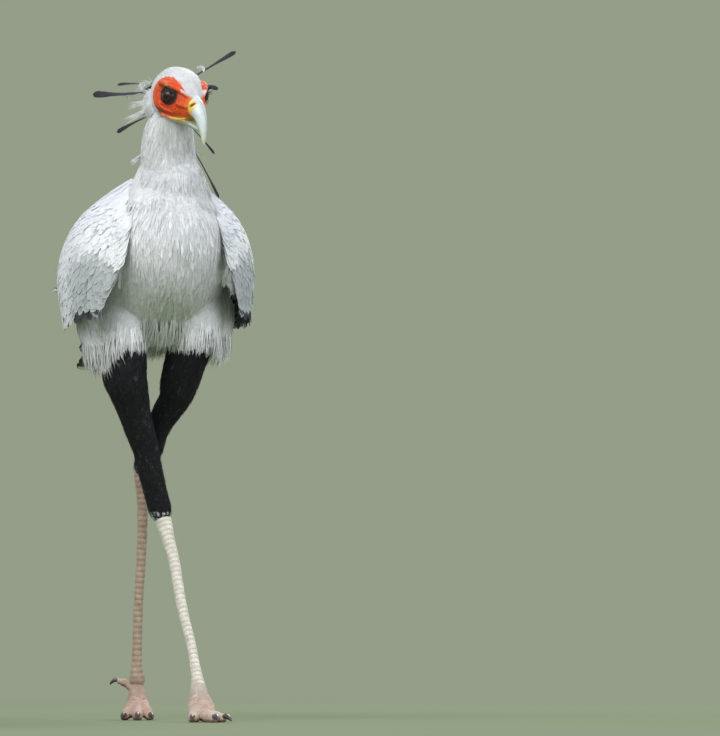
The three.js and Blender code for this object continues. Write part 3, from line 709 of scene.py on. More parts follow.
def node_group(name, inputs, outputs):
    group = bpy.data.node_groups.new(name, "ShaderNodeTree")
    for label, kind, value in inputs:
        socket = group.interface.new_socket(label, in_out="INPUT", socket_type=kind)
        if value is not None:
            socket.default_value = value
    for label, kind in outputs:
        group.interface.new_socket(label, in_out="OUTPUT", socket_type=kind)
    return group, group.nodes.new("NodeGroupInput"), group.nodes.new("NodeGroupOutput")


def maths(tree, operation, first, second=None, clamp=False):
    node = tree.nodes.new("ShaderNodeMath")
    node.operation = operation
    node.use_clamp = clamp
    for socket, value in zip(node.inputs, (first, second)):
        if isinstance(value, (int, float)):
            socket.default_value = value
        elif value is not None:
            tree.links.new(value, socket)
    return node.outputs[0]


def product(tree, *values):
    found = values[0]
    for value in values[1:]:
        found = maths(tree, "MULTIPLY", found, value)
    return found


def noise_about_zero(group, scale, detail, amount):
    """Noise over a piece's own space, as much below zero as above it, and the place that it's read from."""
    coordinate = group.nodes.new("ShaderNodeTexCoord")
    noise = group.nodes.new("ShaderNodeTexNoise")
    noise.inputs["Scale"].default_value = scale
    noise.inputs["Detail"].default_value = detail
    group.links.new(coordinate.outputs["Object"], noise.inputs["Vector"])
    centred = maths(group, "SUBTRACT", noise.outputs["Fac"], 0.5)
    return product(group, centred, amount), coordinate.outputs["Object"]


def write_outputs(group, colour, brightness, height, end):
    tinted = group.nodes.new("ShaderNodeVectorMath")
    tinted.operation = "SCALE"
    group.links.new(colour, tinted.inputs[0])
    group.links.new(brightness, tinted.inputs["Scale"])
    group.links.new(tinted.outputs[0], end.inputs["Colour"])
    group.links.new(height, end.inputs["Height"])


EFFECT_OUTPUTS = [("Colour", "NodeSocketColor"), ("Height", "NodeSocketFloat")]


def barbs_group():
    """Fine slanting barbs and a shaft down the middle, from the feather's own map."""
    name = "Feather barbs"
    if name in bpy.data.node_groups:
        return bpy.data.node_groups[name]
    inputs = [("Colour", "NodeSocketColor", None), ("Barbs", "NodeSocketFloat", 60.0),
              ("Depth", "NodeSocketFloat", 0.15), ("Shaft", "NodeSocketFloat", 0.5)]
    group, start, end = node_group(name, inputs, EFFECT_OUTPUTS)
    links = group.links
    uv = group.nodes.new("ShaderNodeUVMap")
    uv.uv_map = "Vane"
    split = group.nodes.new("ShaderNodeSeparateXYZ")
    links.new(uv.outputs[0], split.inputs[0])
    aside = maths(group, "ABSOLUTE", maths(group, "SUBTRACT", split.outputs[0], 0.5))
    slant = maths(group, "SUBTRACT", split.outputs[1], product(group, aside, 0.55))
    wave = maths(group, "SINE", product(group, slant, product(group, start.outputs["Barbs"], FULL_TURN)))
    soft = maths(group, "MULTIPLY_ADD", wave, 0.5)
    soft.node.inputs[2].default_value = 0.5
    shaft = maths(group, "SUBTRACT", 1.0, product(group, aside, 22.0), clamp=True)
    dark = maths(group, "ADD", product(group, soft, start.outputs["Depth"]),
                 product(group, shaft, start.outputs["Shaft"]))
    mottle, _ = noise_about_zero(group, 130.0, 3.0, 0.35)
    bright = maths(group, "ADD", maths(group, "SUBTRACT", 1.0, dark), mottle)
    height = maths(group, "ADD", soft, product(group, shaft, 2.0))
    write_outputs(group, start.outputs["Colour"], bright, height, end)
    return group


def skin_group():
    """Creased and pebbled skin: a height and a shade from two sizes of cell and a noise."""
    name = "Creased skin"
    if name in bpy.data.node_groups:
        return bpy.data.node_groups[name]
    inputs = [("Colour", "NodeSocketColor", None), ("Cells", "NodeSocketFloat", 600.0),
              ("Shade", "NodeSocketFloat", 0.4)]
    group, start, end = node_group(name, inputs, EFFECT_OUTPUTS)
    vary, place = noise_about_zero(group, 90.0, 4.0, 0.5)
    heights = []
    for scale, feature in ((1.0, "DISTANCE_TO_EDGE"), (0.35, "F1")):
        cells = group.nodes.new("ShaderNodeTexVoronoi")
        cells.feature = feature
        group.links.new(place, cells.inputs["Vector"])
        group.links.new(product(group, start.outputs["Cells"], scale), cells.inputs["Scale"])
        heights.append(cells.outputs["Distance"])
    fine = maths(group, "MINIMUM", product(group, heights[0], 5.0), 1.0)
    height = maths(group, "ADD", fine, product(group, heights[1], 0.6))
    # Darker where the cells' edges dip: painted shade in the creases between the scales and pebbles
    shade = product(group, maths(group, "SUBTRACT", 1.0, fine), start.outputs["Shade"])
    bright = maths(group, "ADD", maths(group, "SUBTRACT", 1.0, shade), vary)
    write_outputs(group, start.outputs["Colour"], bright, height, end)
    return group


def painted(name, layer, group, values, roughness, bump, distance, sheen=0.0, coat=0.0, coat_roughness=0.12,
            subsurface=0.0, gloss=0.5):
    """A material whose colour is a point attribute worked over by a shared group."""
    material = bpy.data.materials.new(name)
    material.use_nodes = True
    tree = material.node_tree
    shader = tree.nodes["Principled BSDF"]
    pigment = tree.nodes.new("ShaderNodeAttribute")
    pigment.attribute_name = layer
    effect = tree.nodes.new("ShaderNodeGroup")
    effect.node_tree = group
    for key, value in values.items():
        effect.inputs[key].default_value = value
    relief = tree.nodes.new("ShaderNodeBump")
    relief.inputs["Strength"].default_value = bump
    relief.inputs["Distance"].default_value = distance
    tree.links.new(pigment.outputs["Color"], effect.inputs["Colour"])
    tree.links.new(effect.outputs["Colour"], shader.inputs["Base Color"])
    tree.links.new(effect.outputs["Height"], relief.inputs["Height"])
    tree.links.new(relief.outputs["Normal"], shader.inputs["Normal"])
    shader.inputs["Roughness"].default_value = roughness
    shader.inputs["Specular IOR Level"].default_value = gloss
    shader.inputs["Sheen Weight"].default_value = sheen
    tree.links.new(effect.outputs["Colour"], shader.inputs["Sheen Tint"])
    shader.inputs["Coat Weight"].default_value = coat
    shader.inputs["Coat Roughness"].default_value = coat_roughness
    if subsurface:
        shader.inputs["Subsurface Weight"].default_value = subsurface
        shader.inputs["Subsurface Radius"].default_value = (0.004, 0.0015, 0.0008)
        shader.inputs["Subsurface Scale"].default_value = 1.0
    return material


def plumage_material():
    name = "Soft plumage"
    return bpy.data.materials.get(name) or painted(
        name, "Plumage", barbs_group(), {"Barbs": 26.0, "Depth": 0.08, "Shaft": 0.04}, roughness=0.9, bump=0.2,
        distance=0.0003, sheen=0.15, gloss=0.15)


def flight_material():
    name = "Flight feathers"
    return bpy.data.materials.get(name) or painted(
        name, "Plumage", barbs_group(), {"Barbs": 70.0, "Depth": 0.16, "Shaft": 0.35}, roughness=0.65, bump=0.4,
        distance=0.0005, sheen=0.05, gloss=0.2)


def bare_skin_material():
    return painted("Bare face skin", "Flush", skin_group(), {"Cells": 620.0, "Shade": 0.35}, roughness=0.5,
                   bump=0.55, distance=0.0006, subsurface=0.15)


def leg_material():
    return painted("Scaled leg", "Flush", skin_group(), {"Cells": 420.0, "Shade": 0.3}, roughness=0.55,
                   bump=0.5, distance=0.0006, subsurface=0.08)


def horn_material(name):
    return painted(name, "Flush", skin_group(), {"Cells": 60.0, "Shade": 0.04}, roughness=0.32, bump=0.05,
                   distance=0.0003, coat=0.25)


def eye_material():
    return painted("Eye", "Iris", skin_group(), {"Cells": 900.0, "Shade": 0.0}, roughness=0.35, bump=0.0,
                   distance=0.0001, coat=0.25, coat_roughness=0.06, gloss=0.3)


# The body's regions and the lie of its feathers

LIMB_LINES = [
    (NECK, NECK_REGION),
    (LEGS["right"]["tibia"], LEG_REGION),
    (LEGS["left"]["tibia"], LEG_REGION + 1),
    (LEGS["right"]["thigh"], LEG_REGION + 2),
    (LEGS["left"]["thigh"], LEG_REGION + 3),
]
TRUNK_FRONT, TRUNK_BACK = TRUNK[0][1], TRUNK[-1][1]
LIMB_STEPS = 60


def body_regions(points):
    """For each place on the body: its region, the way that its feathers lie, and its unwrapped place."""
    x, y, z = points.T
    share = np.interp(y, [row[1] for row in TRUNK], [row[0] for row in TRUNK])
    _, middle, width, top, bottom = through(TRUNK, share).T
    rise = z - middle
    tall = np.maximum(np.where(rise > 0, top, bottom), 4)
    width = np.maximum(width, 4)
    beyond = np.maximum(np.maximum(TRUNK_FRONT - y, y - TRUNK_BACK), 0) / 20
    best = np.hypot(x / width, rise / tall) + beyond
    region = np.full(len(points), TRUNK_REGION)
    front = step(-40, -150, y)[:, None]
    lie = unit(blend(np.array([0.0, 1.0, -0.42]), np.array([0.0, 0.35, -1.0]), front))
    around = (np.arctan2(rise / tall, x / width) / (2 * np.pi)) % 1
    along = (y - TRUNK_FRONT) / (TRUNK_BACK - TRUNK_FRONT)
    for line, number in LIMB_LINES:
        path = curve(full_rows(line), np.linspace(0, 1, LIMB_STEPS))
        apart = np.linalg.norm(points[:, None] - path[None, :, :3], axis=2)
        ratio = apart / np.maximum(path[None, :, 3:].mean(axis=2), 3)
        near, least = ratio.argmin(axis=1), ratio.min(axis=1)
        closer = least < best
        direction = unit(np.gradient(path[:, :3], axis=0))[near]
        if number == NECK_REGION:
            direction = -direction
        spoke = points - path[near, :3]
        region[closer] = number
        lie[closer] = direction[closer]
        around[closer] = ((np.arctan2(spoke[:, 1], spoke[:, 0]) / (2 * np.pi)) % 1)[closer]
        along[closer] = (near / (LIMB_STEPS - 1))[closer]
        best = np.where(closer, least, best)
    return region, lie, region_uv(region, around, along)


def wing_gap(points):
    """How far each place is from the folded wings."""
    s, t = (grid.ravel() for grid in np.meshgrid(np.linspace(0.08, 0.86, 40), np.linspace(0.04, 0.90, 30)))
    _, gap = closest(np.concatenate([wing_point(s, t, side) for side in SIDES.values()]), points)
    return gap


def triangles_of(thing):
    mesh = thing.data
    mesh.calc_loop_triangles()
    corners = np.empty(len(mesh.loop_triangles) * 3, dtype=np.int32)
    mesh.loop_triangles.foreach_get("vertices", corners)
    return corners.reshape(-1, 3)


def unwrap(thing, uv):
    mesh = thing.data
    corners = np.empty(len(mesh.loops), dtype=np.int32)
    mesh.loops.foreach_get("vertex_index", corners)
    for layer in ("OFBake", "Vane"):
        mesh.uv_layers.new(name=layer).data.foreach_set("uv", floats(uv[corners]))


def move_points(thing, points):
    thing.data.vertices.foreach_set("co", floats(world(points)))
    thing.data.update()


def wing_flesh(side, inset):
    """A closed pad under the wing's feathers."""
    rows, columns = 26, 22
    s = np.linspace(0.02, 0.78, rows)[:, None] * np.ones((1, columns))
    t = np.linspace(0.03, 0.78, columns)[None, :] * np.ones((rows, 1))
    place, normal = wing_face(s, t, side)
    full = np.sqrt(np.sin(np.pi * np.linspace(0.06, 0.94, rows))[:, None]
                   * np.sin(np.pi * np.linspace(0.1, 0.94, columns))[None])
    outside = place - normal * inset
    inside = place - normal * (inset + 3 + 46 * full)[..., None]
    return tube(np.concatenate([outside, inside[:, ::-1]], axis=1))


def leg_edge(points):
    """Height at which the white feathers of the flanks end over the black thighs."""
    x, y = points[:, 0], points[:, 1]
    outside = step(66, 92, np.abs(x)) * np.where(x < 0, 1.0, 0.6)
    behind = step(-10, 50, y) * 0.7
    return 570 - 34 * np.maximum(outside, behind)


REAR_LEG_Y = 85  # the rear leg's shank is behind this, and the forward leg's in front


def shank_top(points, rear, forward):
    """For each place, the height that belongs to the leg that it's on."""
    return np.where(points[:, 1] > REAR_LEG_Y, rear, forward)


def plumage_colour(rng, points, region):
    """Base and tip colours of the small feathers, from where they grow."""
    count = len(points)
    base = np.tile(WHITE * 0.92, (count, 1))
    tip = np.tile(WHITE, (count, 1))
    x, y, z = points.T
    trunk = region == TRUNK_REGION
    bib = step(-80, -120, y) * step(872, 845, z) * step(730, 785, z) * step(52, 30, np.abs(x))
    streak = (bib * (rng.random(count) < 0.55))[:, None]
    base = blend(base, PEARL * 0.9, streak * 0.8)
    tip = blend(tip, PEARL * 1.15, streak * 0.7)
    # Painted shade under the belly: low on the front the colours turn darker and greenish, as shade with light
    # bounced up from green ground
    shaded = (step(690, 600, z) * step(60, 20, np.abs(x - 8)) * step(60, -20, y) * trunk)[:, None]
    base = blend(base, base * [0.74, 0.78, 0.66], shaded)
    tip = blend(tip, tip * [0.78, 0.82, 0.70], shaded)
    back = (step(-20, 40, y) * step(760, 790, z) * trunk)[:, None]
    base, tip = blend(base, GREY, back), blend(tip, PEARL, back)
    vent = step(120, 165, y) * step(668, 640, z)
    patchy = (vent * (rng.random(count) < 0.6))[:, None]
    base, tip = blend(base, BLACK, patchy), blend(tip, BLACK, patchy)
    dark = (region >= LEG_REGION) & (z < leg_edge(points) + 4 + rng.normal(0, 3, count))
    base[dark], tip[dark] = BLACK, BLACK * 1.3
    fleck = dark & (rng.random(count) < 0.05) & (x < 45)
    tip[fleck] = SLATE * 1.2
    pale = dark & (z < shank_top(points, 388, 318)) & (rng.random(count) < 0.45)
    base[pale], tip[pale] = WHITE * 0.7, WHITE * 0.9
    vary = 1 + np.where(trunk, 0.045, 0.06)[:, None] * rng.normal(size=(count, 1))
    return base * vary, tip * vary


# Settings that a user would change

class BirdSettings(PropertyGroup):
    spacing: FloatProperty(name="Feather spacing", description="Distance between feathers on the body",
                           default=0.0068, min=0.003, unit="LENGTH")
    feather: FloatProperty(name="Body feather", description="Length of a feather on the breast",
                           default=0.032, min=0.005, unit="LENGTH")
    neck_feather: FloatProperty(name="Neck feather", description="Length of a feather on the neck",
                                default=0.028, min=0.005, unit="LENGTH")
    coat_depth: FloatProperty(name="Coat depth", description="How far the skin lies inside the plumage",
                              default=0.005, min=0.0, unit="LENGTH")
    lashes: IntProperty(name="Lashes", description="Lashes on each lid", default=34, min=4)
    face_colour: FloatVectorProperty(name="Face", description="Colour of the bare face round the eye",
                                     subtype="COLOR", default=(0.86, 0.095, 0.010))
    cere_colour: FloatVectorProperty(name="Cere", description="Colour of the cere and gape",
                                     subtype="COLOR", default=(0.80, 0.48, 0.06))
    horn_colour: FloatVectorProperty(name="Horn", description="Colour of the bill",
                                     subtype="COLOR", default=(0.56, 0.63, 0.64))
    leg_colour: FloatVectorProperty(name="Leg", description="Colour of the scaled legs",
                                    subtype="COLOR", default=(0.80, 0.76, 0.66))
    # The rear leg is the same scaled skin as the forward leg, painted darker and browner as painted shade
    shaded_rear_leg_colour: FloatVectorProperty(name="Rear leg", description="Colour of the leg behind",
                                         subtype="COLOR", default=(0.50, 0.37, 0.28))


def settings():
    return bpy.context.scene.bird_settings


def layered(colour, *layers):
    """A colour with others laid over it, each by a share for each point."""
    for over, share in layers:
        colour = blend(colour, np.asarray(over), share[:, None])
    return colour


class BuildSkin(Operator):
    """Make one skin for the trunk, neck, thighs and wings, and paint it as the plumage over it"""

    bl_idname = "bird.skin"
    bl_label = "Skin"

    def execute(self, context):
        inset = settings().coat_depth * 1000
        parts = [tube(trunk_rings(30, 44, inset)), tube(limb_rings(NECK, 30, 36, inset * 0.9))]
        parts += [tube(limb_rings(form, 24, 36, inset)) for form in (CROP, NAPE)]
        for side, sign in SIDES.items():
            parts.append(tube(limb_rings(LEGS[side]["thigh"], 16, 30, inset)))
            parts.append(tube(limb_rings(FLANKS[side], 24, 30, inset)))
            parts.append(tube(limb_rings(LEGS[side]["tibia"], 34, 28, inset * 0.8,
                                         shape=lambda v: 7 * step(0.55, 0.9, v) * step(1.1, 0.95, v))))
            parts.append(wing_flesh(sign, 5.0))
        rows = 12
        centre = RUMP + RUMP_WAY * np.linspace(-40, 80, rows)[:, None]
        plump = np.sin(np.pi * np.linspace(0.08, 0.97, rows)) ** 0.6
        parts.append(tube(rings(centre, np.tile(RUMP_WAY, (rows, 1)), UP, RUMP_WIDTH * plump, RUMP_TOP * plump,
                                RUMP_BOTTOM * plump, 24)))
        skin = new_mesh("body_skin", *joined(parts))
        outward(skin)
        fused(skin, 0.003, 14)
        points, _ = mesh_points(skin)
        region, _, uv = body_regions(points)
        base, tip = plumage_colour(np.random.default_rng(5), points, region)
        paint(skin.data, "Plumage", (base + tip) * 0.42)
        unwrap(skin, uv)
        finish(skin, "white_plumage", plumage_material(), "torso", "neck",
               *(f"{part}_{side}" for part in ("thigh", "tibia") for side in SIDES))
        return {"FINISHED"}


LID_OPENING = 56.0  # half the height of the eye's opening below its middle, in degrees seen from its centre
LID_WIDTH, LID_UPPER_SHARE = 74.0, 0.56
# Across the lids, from the eyeball outwards: degrees past the opening, and height over the eyeball
LID_SECTION = [(0.0, -0.5), (-2.5, 0.5), (1.0, 1.5), (7.0, 2.1), (13.0, 1.4), (17.0, 2.0), (24.0, 1.6),
               (32.0, 0.2), (38.0, -4.0), (10.0, -4.0)]


def lid_body(side):
    """Both lids as one ring round the eyeball, with an almond opening."""
    centre, out, across, above = eye_frame(side)
    turn = np.linspace(0, 2 * np.pi, 72, endpoint=False)
    tall = np.where(np.sin(turn) > 0, LID_OPENING * LID_UPPER_SHARE, LID_OPENING)
    reach = np.abs(np.cos(turn) / LID_WIDTH) ** 2.2 + np.abs(np.sin(turn) / tall) ** 2.2
    opening = np.radians(reach ** (-1 / 2.2))
    spoke = np.cos(turn)[:, None] * across + np.sin(turn)[:, None] * above
    ring = []
    for degrees, height in LID_SECTION:
        angle = (opening + math.radians(degrees))[:, None]
        ring.append(centre + (EYE_RADIUS + height) * (np.cos(angle) * out + np.sin(angle) * spoke))
    grid = np.stack(ring, axis=1)
    rows, columns = grid.shape[:2]
    i = np.arange(rows)[:, None]
    j = np.arange(columns)[None, :]
    next_i, next_j = (i + 1) % rows, (j + 1) % columns
    corners = [i * columns + j, i * columns + next_j, next_i * columns + next_j, next_i * columns + j]
    quads = np.stack(corners, axis=-1).reshape(-1, 4)
    return grid.reshape(-1, 3), np.concatenate([quads[:, [0, 1, 2]], quads[:, [0, 2, 3]]])


def bareness(local):
    """1 on the bare face and 0 under feathers, from places on the head."""
    f, l, u = local.T
    aside = np.abs(l)
    wobble = 0.03 * np.sin(u * 0.9 + f * 0.7) * np.sign(l)
    patch = step(1.05, 0.98, np.hypot((f - 17.5) / 30.5, (u - 4) / 29) + wobble)
    patch = patch * step(10, 14, aside + 0.1 * (30 - u))
    lore = step(30, 36, f) * step(-32, -28, u) * step(16, 11, u + 0.35 * (f - 44) + 0.35 * (18 - aside))
    gape = step(20, 28, f) * step(-32, -29, u)
    gape = gape * step(-10, -16, u - (30 - f) * 0.22) * step(20, 26, aside + f * 0.4)
    return np.maximum(np.maximum(patch, lore), gape)


def from_eye(f, l, u):
    """How far places on the head are from the middle of the eyeball on their side."""
    forward, aside, up = EYE_PLACE
    return np.sqrt((f - forward) ** 2 + (np.abs(l) - aside) ** 2 + (u - up) ** 2)


# Ridges on the left of the head, each row forward, left and up with a half width and a half height
HEAD_RIDGES = {
    "nape": [[-16, 14, 8, 12, 12], [-27, 14, -5, 15, 15], [-27, 14, -17, 16, 16], [-22, 12, -30, 14, 14]],
    "brow": [[2, 33, 22, 4, 4], [16, 34.5, 23, 5, 4.4], [32, 31, 21, 4.8, 4], [46, 21, 13, 3, 3],
             [53, 15, 6, 1, 1]],
    "lore": [[40, 27, -4, 3, 3], [47, 21, -6, 4, 4], [54, 15, -8, 3, 3]],
    "gape": [[6, 36, -17, 1, 1], [16, 36.5, -22, 2.0, 2.2], [30, 31.5, -27, 2.3, 2.4],
             [44, 22.5, -28, 2.2, 2.2], [55, 16, -25.5, 1, 1]],
    "fold": [[10, 37, -6, 0.8, 0.8], [20, 38.5, -13, 1.6, 1.6], [34, 33, -17, 1.8, 1.8],
             [46, 24, -15, 0.8, 0.8]],
}
LID_SPOT = (25, 20.5)  # forward and up to the yellow spot over the eye


def head_uv(f, l, u):
    return region_uv(HEAD_TILE, (np.arctan2(u, l) / (2 * np.pi)) % 1, (f + 45) / 110)


class BuildHead(Operator):
    """Make the head's skin with its brows, lids, folds and the line of the gape"""

    bl_idname = "bird.head"
    bl_label = "Head"

    def execute(self, context):
        parts = [tube(skull_rings(40, 60, 1.2))]
        for side in SIDES.values():
            for ridge in HEAD_RIDGES.values():
                place = np.asarray(ridge, dtype=float)
                place[:, :3] = on_head(place[:, :3] * [1, side, 1])
                parts.append(tube(limb_rings(place, 26, 18, upwards=UPWARD)))
            parts.append(lid_body(side))
        head = new_mesh("head_skin", *joined(parts))
        outward(head)
        fused(head, 0.0010, 5)
        points, normals = mesh_points(head)
        local = from_head(points)
        bare = bareness(local)
        f, l, u = local.T
        apart = from_eye(f, l, u)
        crease = np.sin(apart * 1.55 + 1.4 * np.sin(f * 0.31) + 1.1 * np.sin(u * 0.43))
        crease = crease * step(13, 16, apart) * step(34, 24, apart) * bare
        knobs = np.sin(f * 2.3 + 2 * np.sin(u * 0.7)) * np.sin(u * 2.1 + 1.7 * np.sin(l * 0.5))
        knobs = knobs * bare * step(14, 17, apart)
        move_points(head, points + normals * (0.32 * crease + 0.22 * knobs)[:, None])
        lip = step(-22, -26, u) * step(28, 38, f)
        lid_spot = step(5.5, 3.0, np.hypot(f - LID_SPOT[0], u - LID_SPOT[1]))
        yellow = np.maximum(np.maximum(step(51, 60, f) * step(9, 4, u), lip), lid_spot * 0.8)
        corner = step(2.8, 1.4, np.abs(u + 18 + 0.20 * (f - 4))) * step(-8, -3, f) * step(24, 16, f)
        lid = step(1.5, 3.5, u - 6 - 9.5) * step(16.8, 15.5, apart) * step(13.2, 14.2, apart)
        colour = layered(
            np.tile(settings().face_colour, (len(points), 1)),
            (settings().cere_colour, yellow),
            ([0.10, 0.02, 0.012], 0.8 * corner),
            ([0.62, 0.16, 0.11], 0.5 * step(18, 24, u) * step(30, 10, f)),
        )
        colour = layered(
            # Darker down in the furrows of the creases: painted shade
            colour * (1 - 0.30 * np.clip(-crease, 0, 1))[:, None],
            ([0.16, 0.02, 0.01], step(17.5, 14.5, apart) * 0.85),
            ([0.02, 0.008, 0.008], step(15.2, 13.8, apart)),
            ([0.45, 0.40, 0.36], 0.8 * lid),
        )
        paint(head.data, "Flush", blend(np.tile(WHITE * 0.9, (len(points), 1)), colour, bare[:, None]))
        unwrap(head, head_uv(f, l, u))
        finish(head, "white_plumage", bare_skin_material(), "head")
        return {"FINISHED"}


class BuildEyes(Operator):
    """Make the eyes, with a brown iris and a wide black pupil"""

    bl_idname = "bird.eyes"
    bl_label = "Eyes"

    def execute(self, context):
        for name, side in SIDES.items():
            bpy.ops.object.select_all(action="DESELECT")
            bpy.ops.mesh.primitive_uv_sphere_add(segments=96, ring_count=96, radius=EYE_RADIUS * 0.001)
            eye = context.active_object
            eye.name = f"eyeball_{name}"
            points = np.empty(len(eye.data.vertices) * 3, dtype=np.float32)
            eye.data.vertices.foreach_get("co", points)
            points = points.reshape(-1, 3) * 1000
            centre, out, across, above = eye_frame(side)
            spread = np.degrees(np.arccos(np.clip(points[:, 2] / EYE_RADIUS, -1, 1)))
            turn = np.arctan2(points[:, 1], points[:, 0])
            bulge = 1 + 0.045 * np.exp(-((spread / 26) ** 2))
            move_points(eye, centre + bulge[:, None] * (points @ np.stack([across, above, out])))
            fibres = 0.75 + 0.35 * np.sin(turn * 37 + 2 * np.sin(turn * 5)) * step(18, 34, spread)
            brown = np.array([0.055, 0.016, 0.007])
            iris = fibres[:, None] * blend(brown, brown * 0.35, step(34, 43, spread)[:, None])
            colour = blend(np.array([0.004, 0.003, 0.003]), iris, step(23, 25, spread)[:, None])
            paint(eye.data, "Iris", layered(colour, ([0.02, 0.012, 0.01], step(43, 46, spread))))
            bpy.ops.object.shade_smooth()
            finish(eye, "eye", eye_material(), f"eye_{name}")
        return {"FINISHED"}


BILL = [[34, -2, 16, 19], [44, -4, 15.6, 18], [52, -7, 14.6, 16], [60, -11.5, 12.8, 14], [67, -17.5, 10.6, 11.6],
        [73, -26, 8.4, 9.4], [78, -36, 6.6, 7.4], [81.5, -46, 4.8, 5.4], [83.6, -55, 3.0, 3.4],
        [84.6, -62, 0.9, 1.0]]
LOWER_BILL = [[30, -31, 15, 7.5], [46, -32.5, 13.6, 7], [58, -35.5, 10.6, 6], [68, -39.5, 6.4, 4.2],
              [74, -43, 1.4, 1.2]]
BILL_ROWS = 150
BILL_TURN = np.linspace(0, 2 * np.pi, 96, endpoint=False)
NOSTRIL, NOSTRIL_WAY = np.array([60.5, 11.0, -4.0]), unit(np.array([0.66, 0.0, 0.75]))
NOSTRIL_LENGTH, NOSTRIL_WIDTH = 7.0, 2.6  # from its middle


class BuildBill(Operator):
    """Make the hooked bill, its cere and nostrils, and the lower half under it"""

    bl_idname = "bird.bill"
    bl_label = "Bill"

    def execute(self, context):
        for name, path in (("bill_upper", BILL), ("bill_lower", LOWER_BILL)):
            upper = name == "bill_upper"
            bill = new_mesh(f"{name}_horn", *tube(on_head(self.form(path, upper))))
            outward(bill)
            points, normals = mesh_points(bill)
            f, l, u = from_head(points).T
            aside = np.abs(l)
            edge = 66 + 1.0 * np.sin(u * 0.5) - 0.75 * np.maximum(-u - 8, 0) - 4 * step(6, 0, aside)
            yellow = step(edge + 1.6, edge - 1.6, f) * step(4.0, 0.0, u - 0.35 * (60 - f))
            colour = np.tile(settings().horn_colour, (len(points), 1))
            colour = layered(colour, ([0.70, 0.66, 0.48], step(-34, -58, u)))
            if upper:
                lip = np.append(np.tile(step(0.62, 0.80, -np.sin(BILL_TURN)), BILL_ROWS), [0, 0])
                yellow = np.maximum(yellow, lip * step(78, 70, f))
                slit = np.stack([f, 0.3 * aside, u], axis=-1) - NOSTRIL * [1, 0.3, 1]
                along = slit @ NOSTRIL_WAY
                apart = np.sqrt(np.maximum(np.einsum("ij,ij->i", slit, slit) - along**2, 0))
                hole = step(1.0, 0.1, (along / NOSTRIL_LENGTH) ** 2 + (apart / NOSTRIL_WIDTH) ** 2)
                points = points + normals * (0.55 * yellow - 2.6 * hole)[:, None]
            else:
                yellow = yellow * 0.4
                hole = np.zeros(len(points))
                # The lower half is painted darker and greener: painted shade under the upper bill and the chin
                colour = colour * [0.55, 0.57, 0.50]
            move_points(bill, points)
            colour = layered(
                colour,
                (np.array(settings().horn_colour) * 0.75, step(3.5, 1.0, aside) * step(60, 66, f) * 0.6),
                (settings().cere_colour, yellow),
                # The sunk nostrils are painted almost black: painted shade inside them
                ([0.012, 0.008, 0.006], hole),
            )
            paint(bill.data, "Flush", colour)
            finish(bill, "horn", horn_material(f"{name} horn".replace("_", " ")), name)
        return {"FINISHED"}

    @staticmethod
    def form(path, upper):
        """Rings along one half of the bill, as places on the head."""
        rows = [[*on_head([f, 0, u]), width, deep] for f, u, width, deep in path]
        ring = limb_rings(rows, BILL_ROWS, len(BILL_TURN), upwards=UPWARD)
        local = from_head(ring.reshape(-1, 3)).reshape(ring.shape)
        if upper:
            pinch = 1 - 0.30 * np.clip(np.sin(BILL_TURN), 0, 1) ** 2
            flat = 1 - 0.22 * np.clip(-np.sin(BILL_TURN), 0, 1) ** 3
            local[..., 1] *= (pinch * flat)[None]
        else:
            local[..., 2] = np.minimum(local[..., 2], local[..., 2].mean(axis=1, keepdims=True) + 3.0)
        return local


INSTEP = [[38.5, -120, 58, 11, 11], [38.5, -130, 40, 15, 14], [39, -138, 26, 20, 15],
          [39.5, -146, 15, 21, 11], [40, -154, 10, 12, 7]]  # on the forward foot
SHIELD_LENGTH = 8.6
FOOT_COLOUR = np.array([0.56, 0.38, 0.31])


def waves(turns):
    """0 at each whole turn and 1 halfway between."""
    return 0.5 - 0.5 * np.cos(turns * 2 * np.pi)


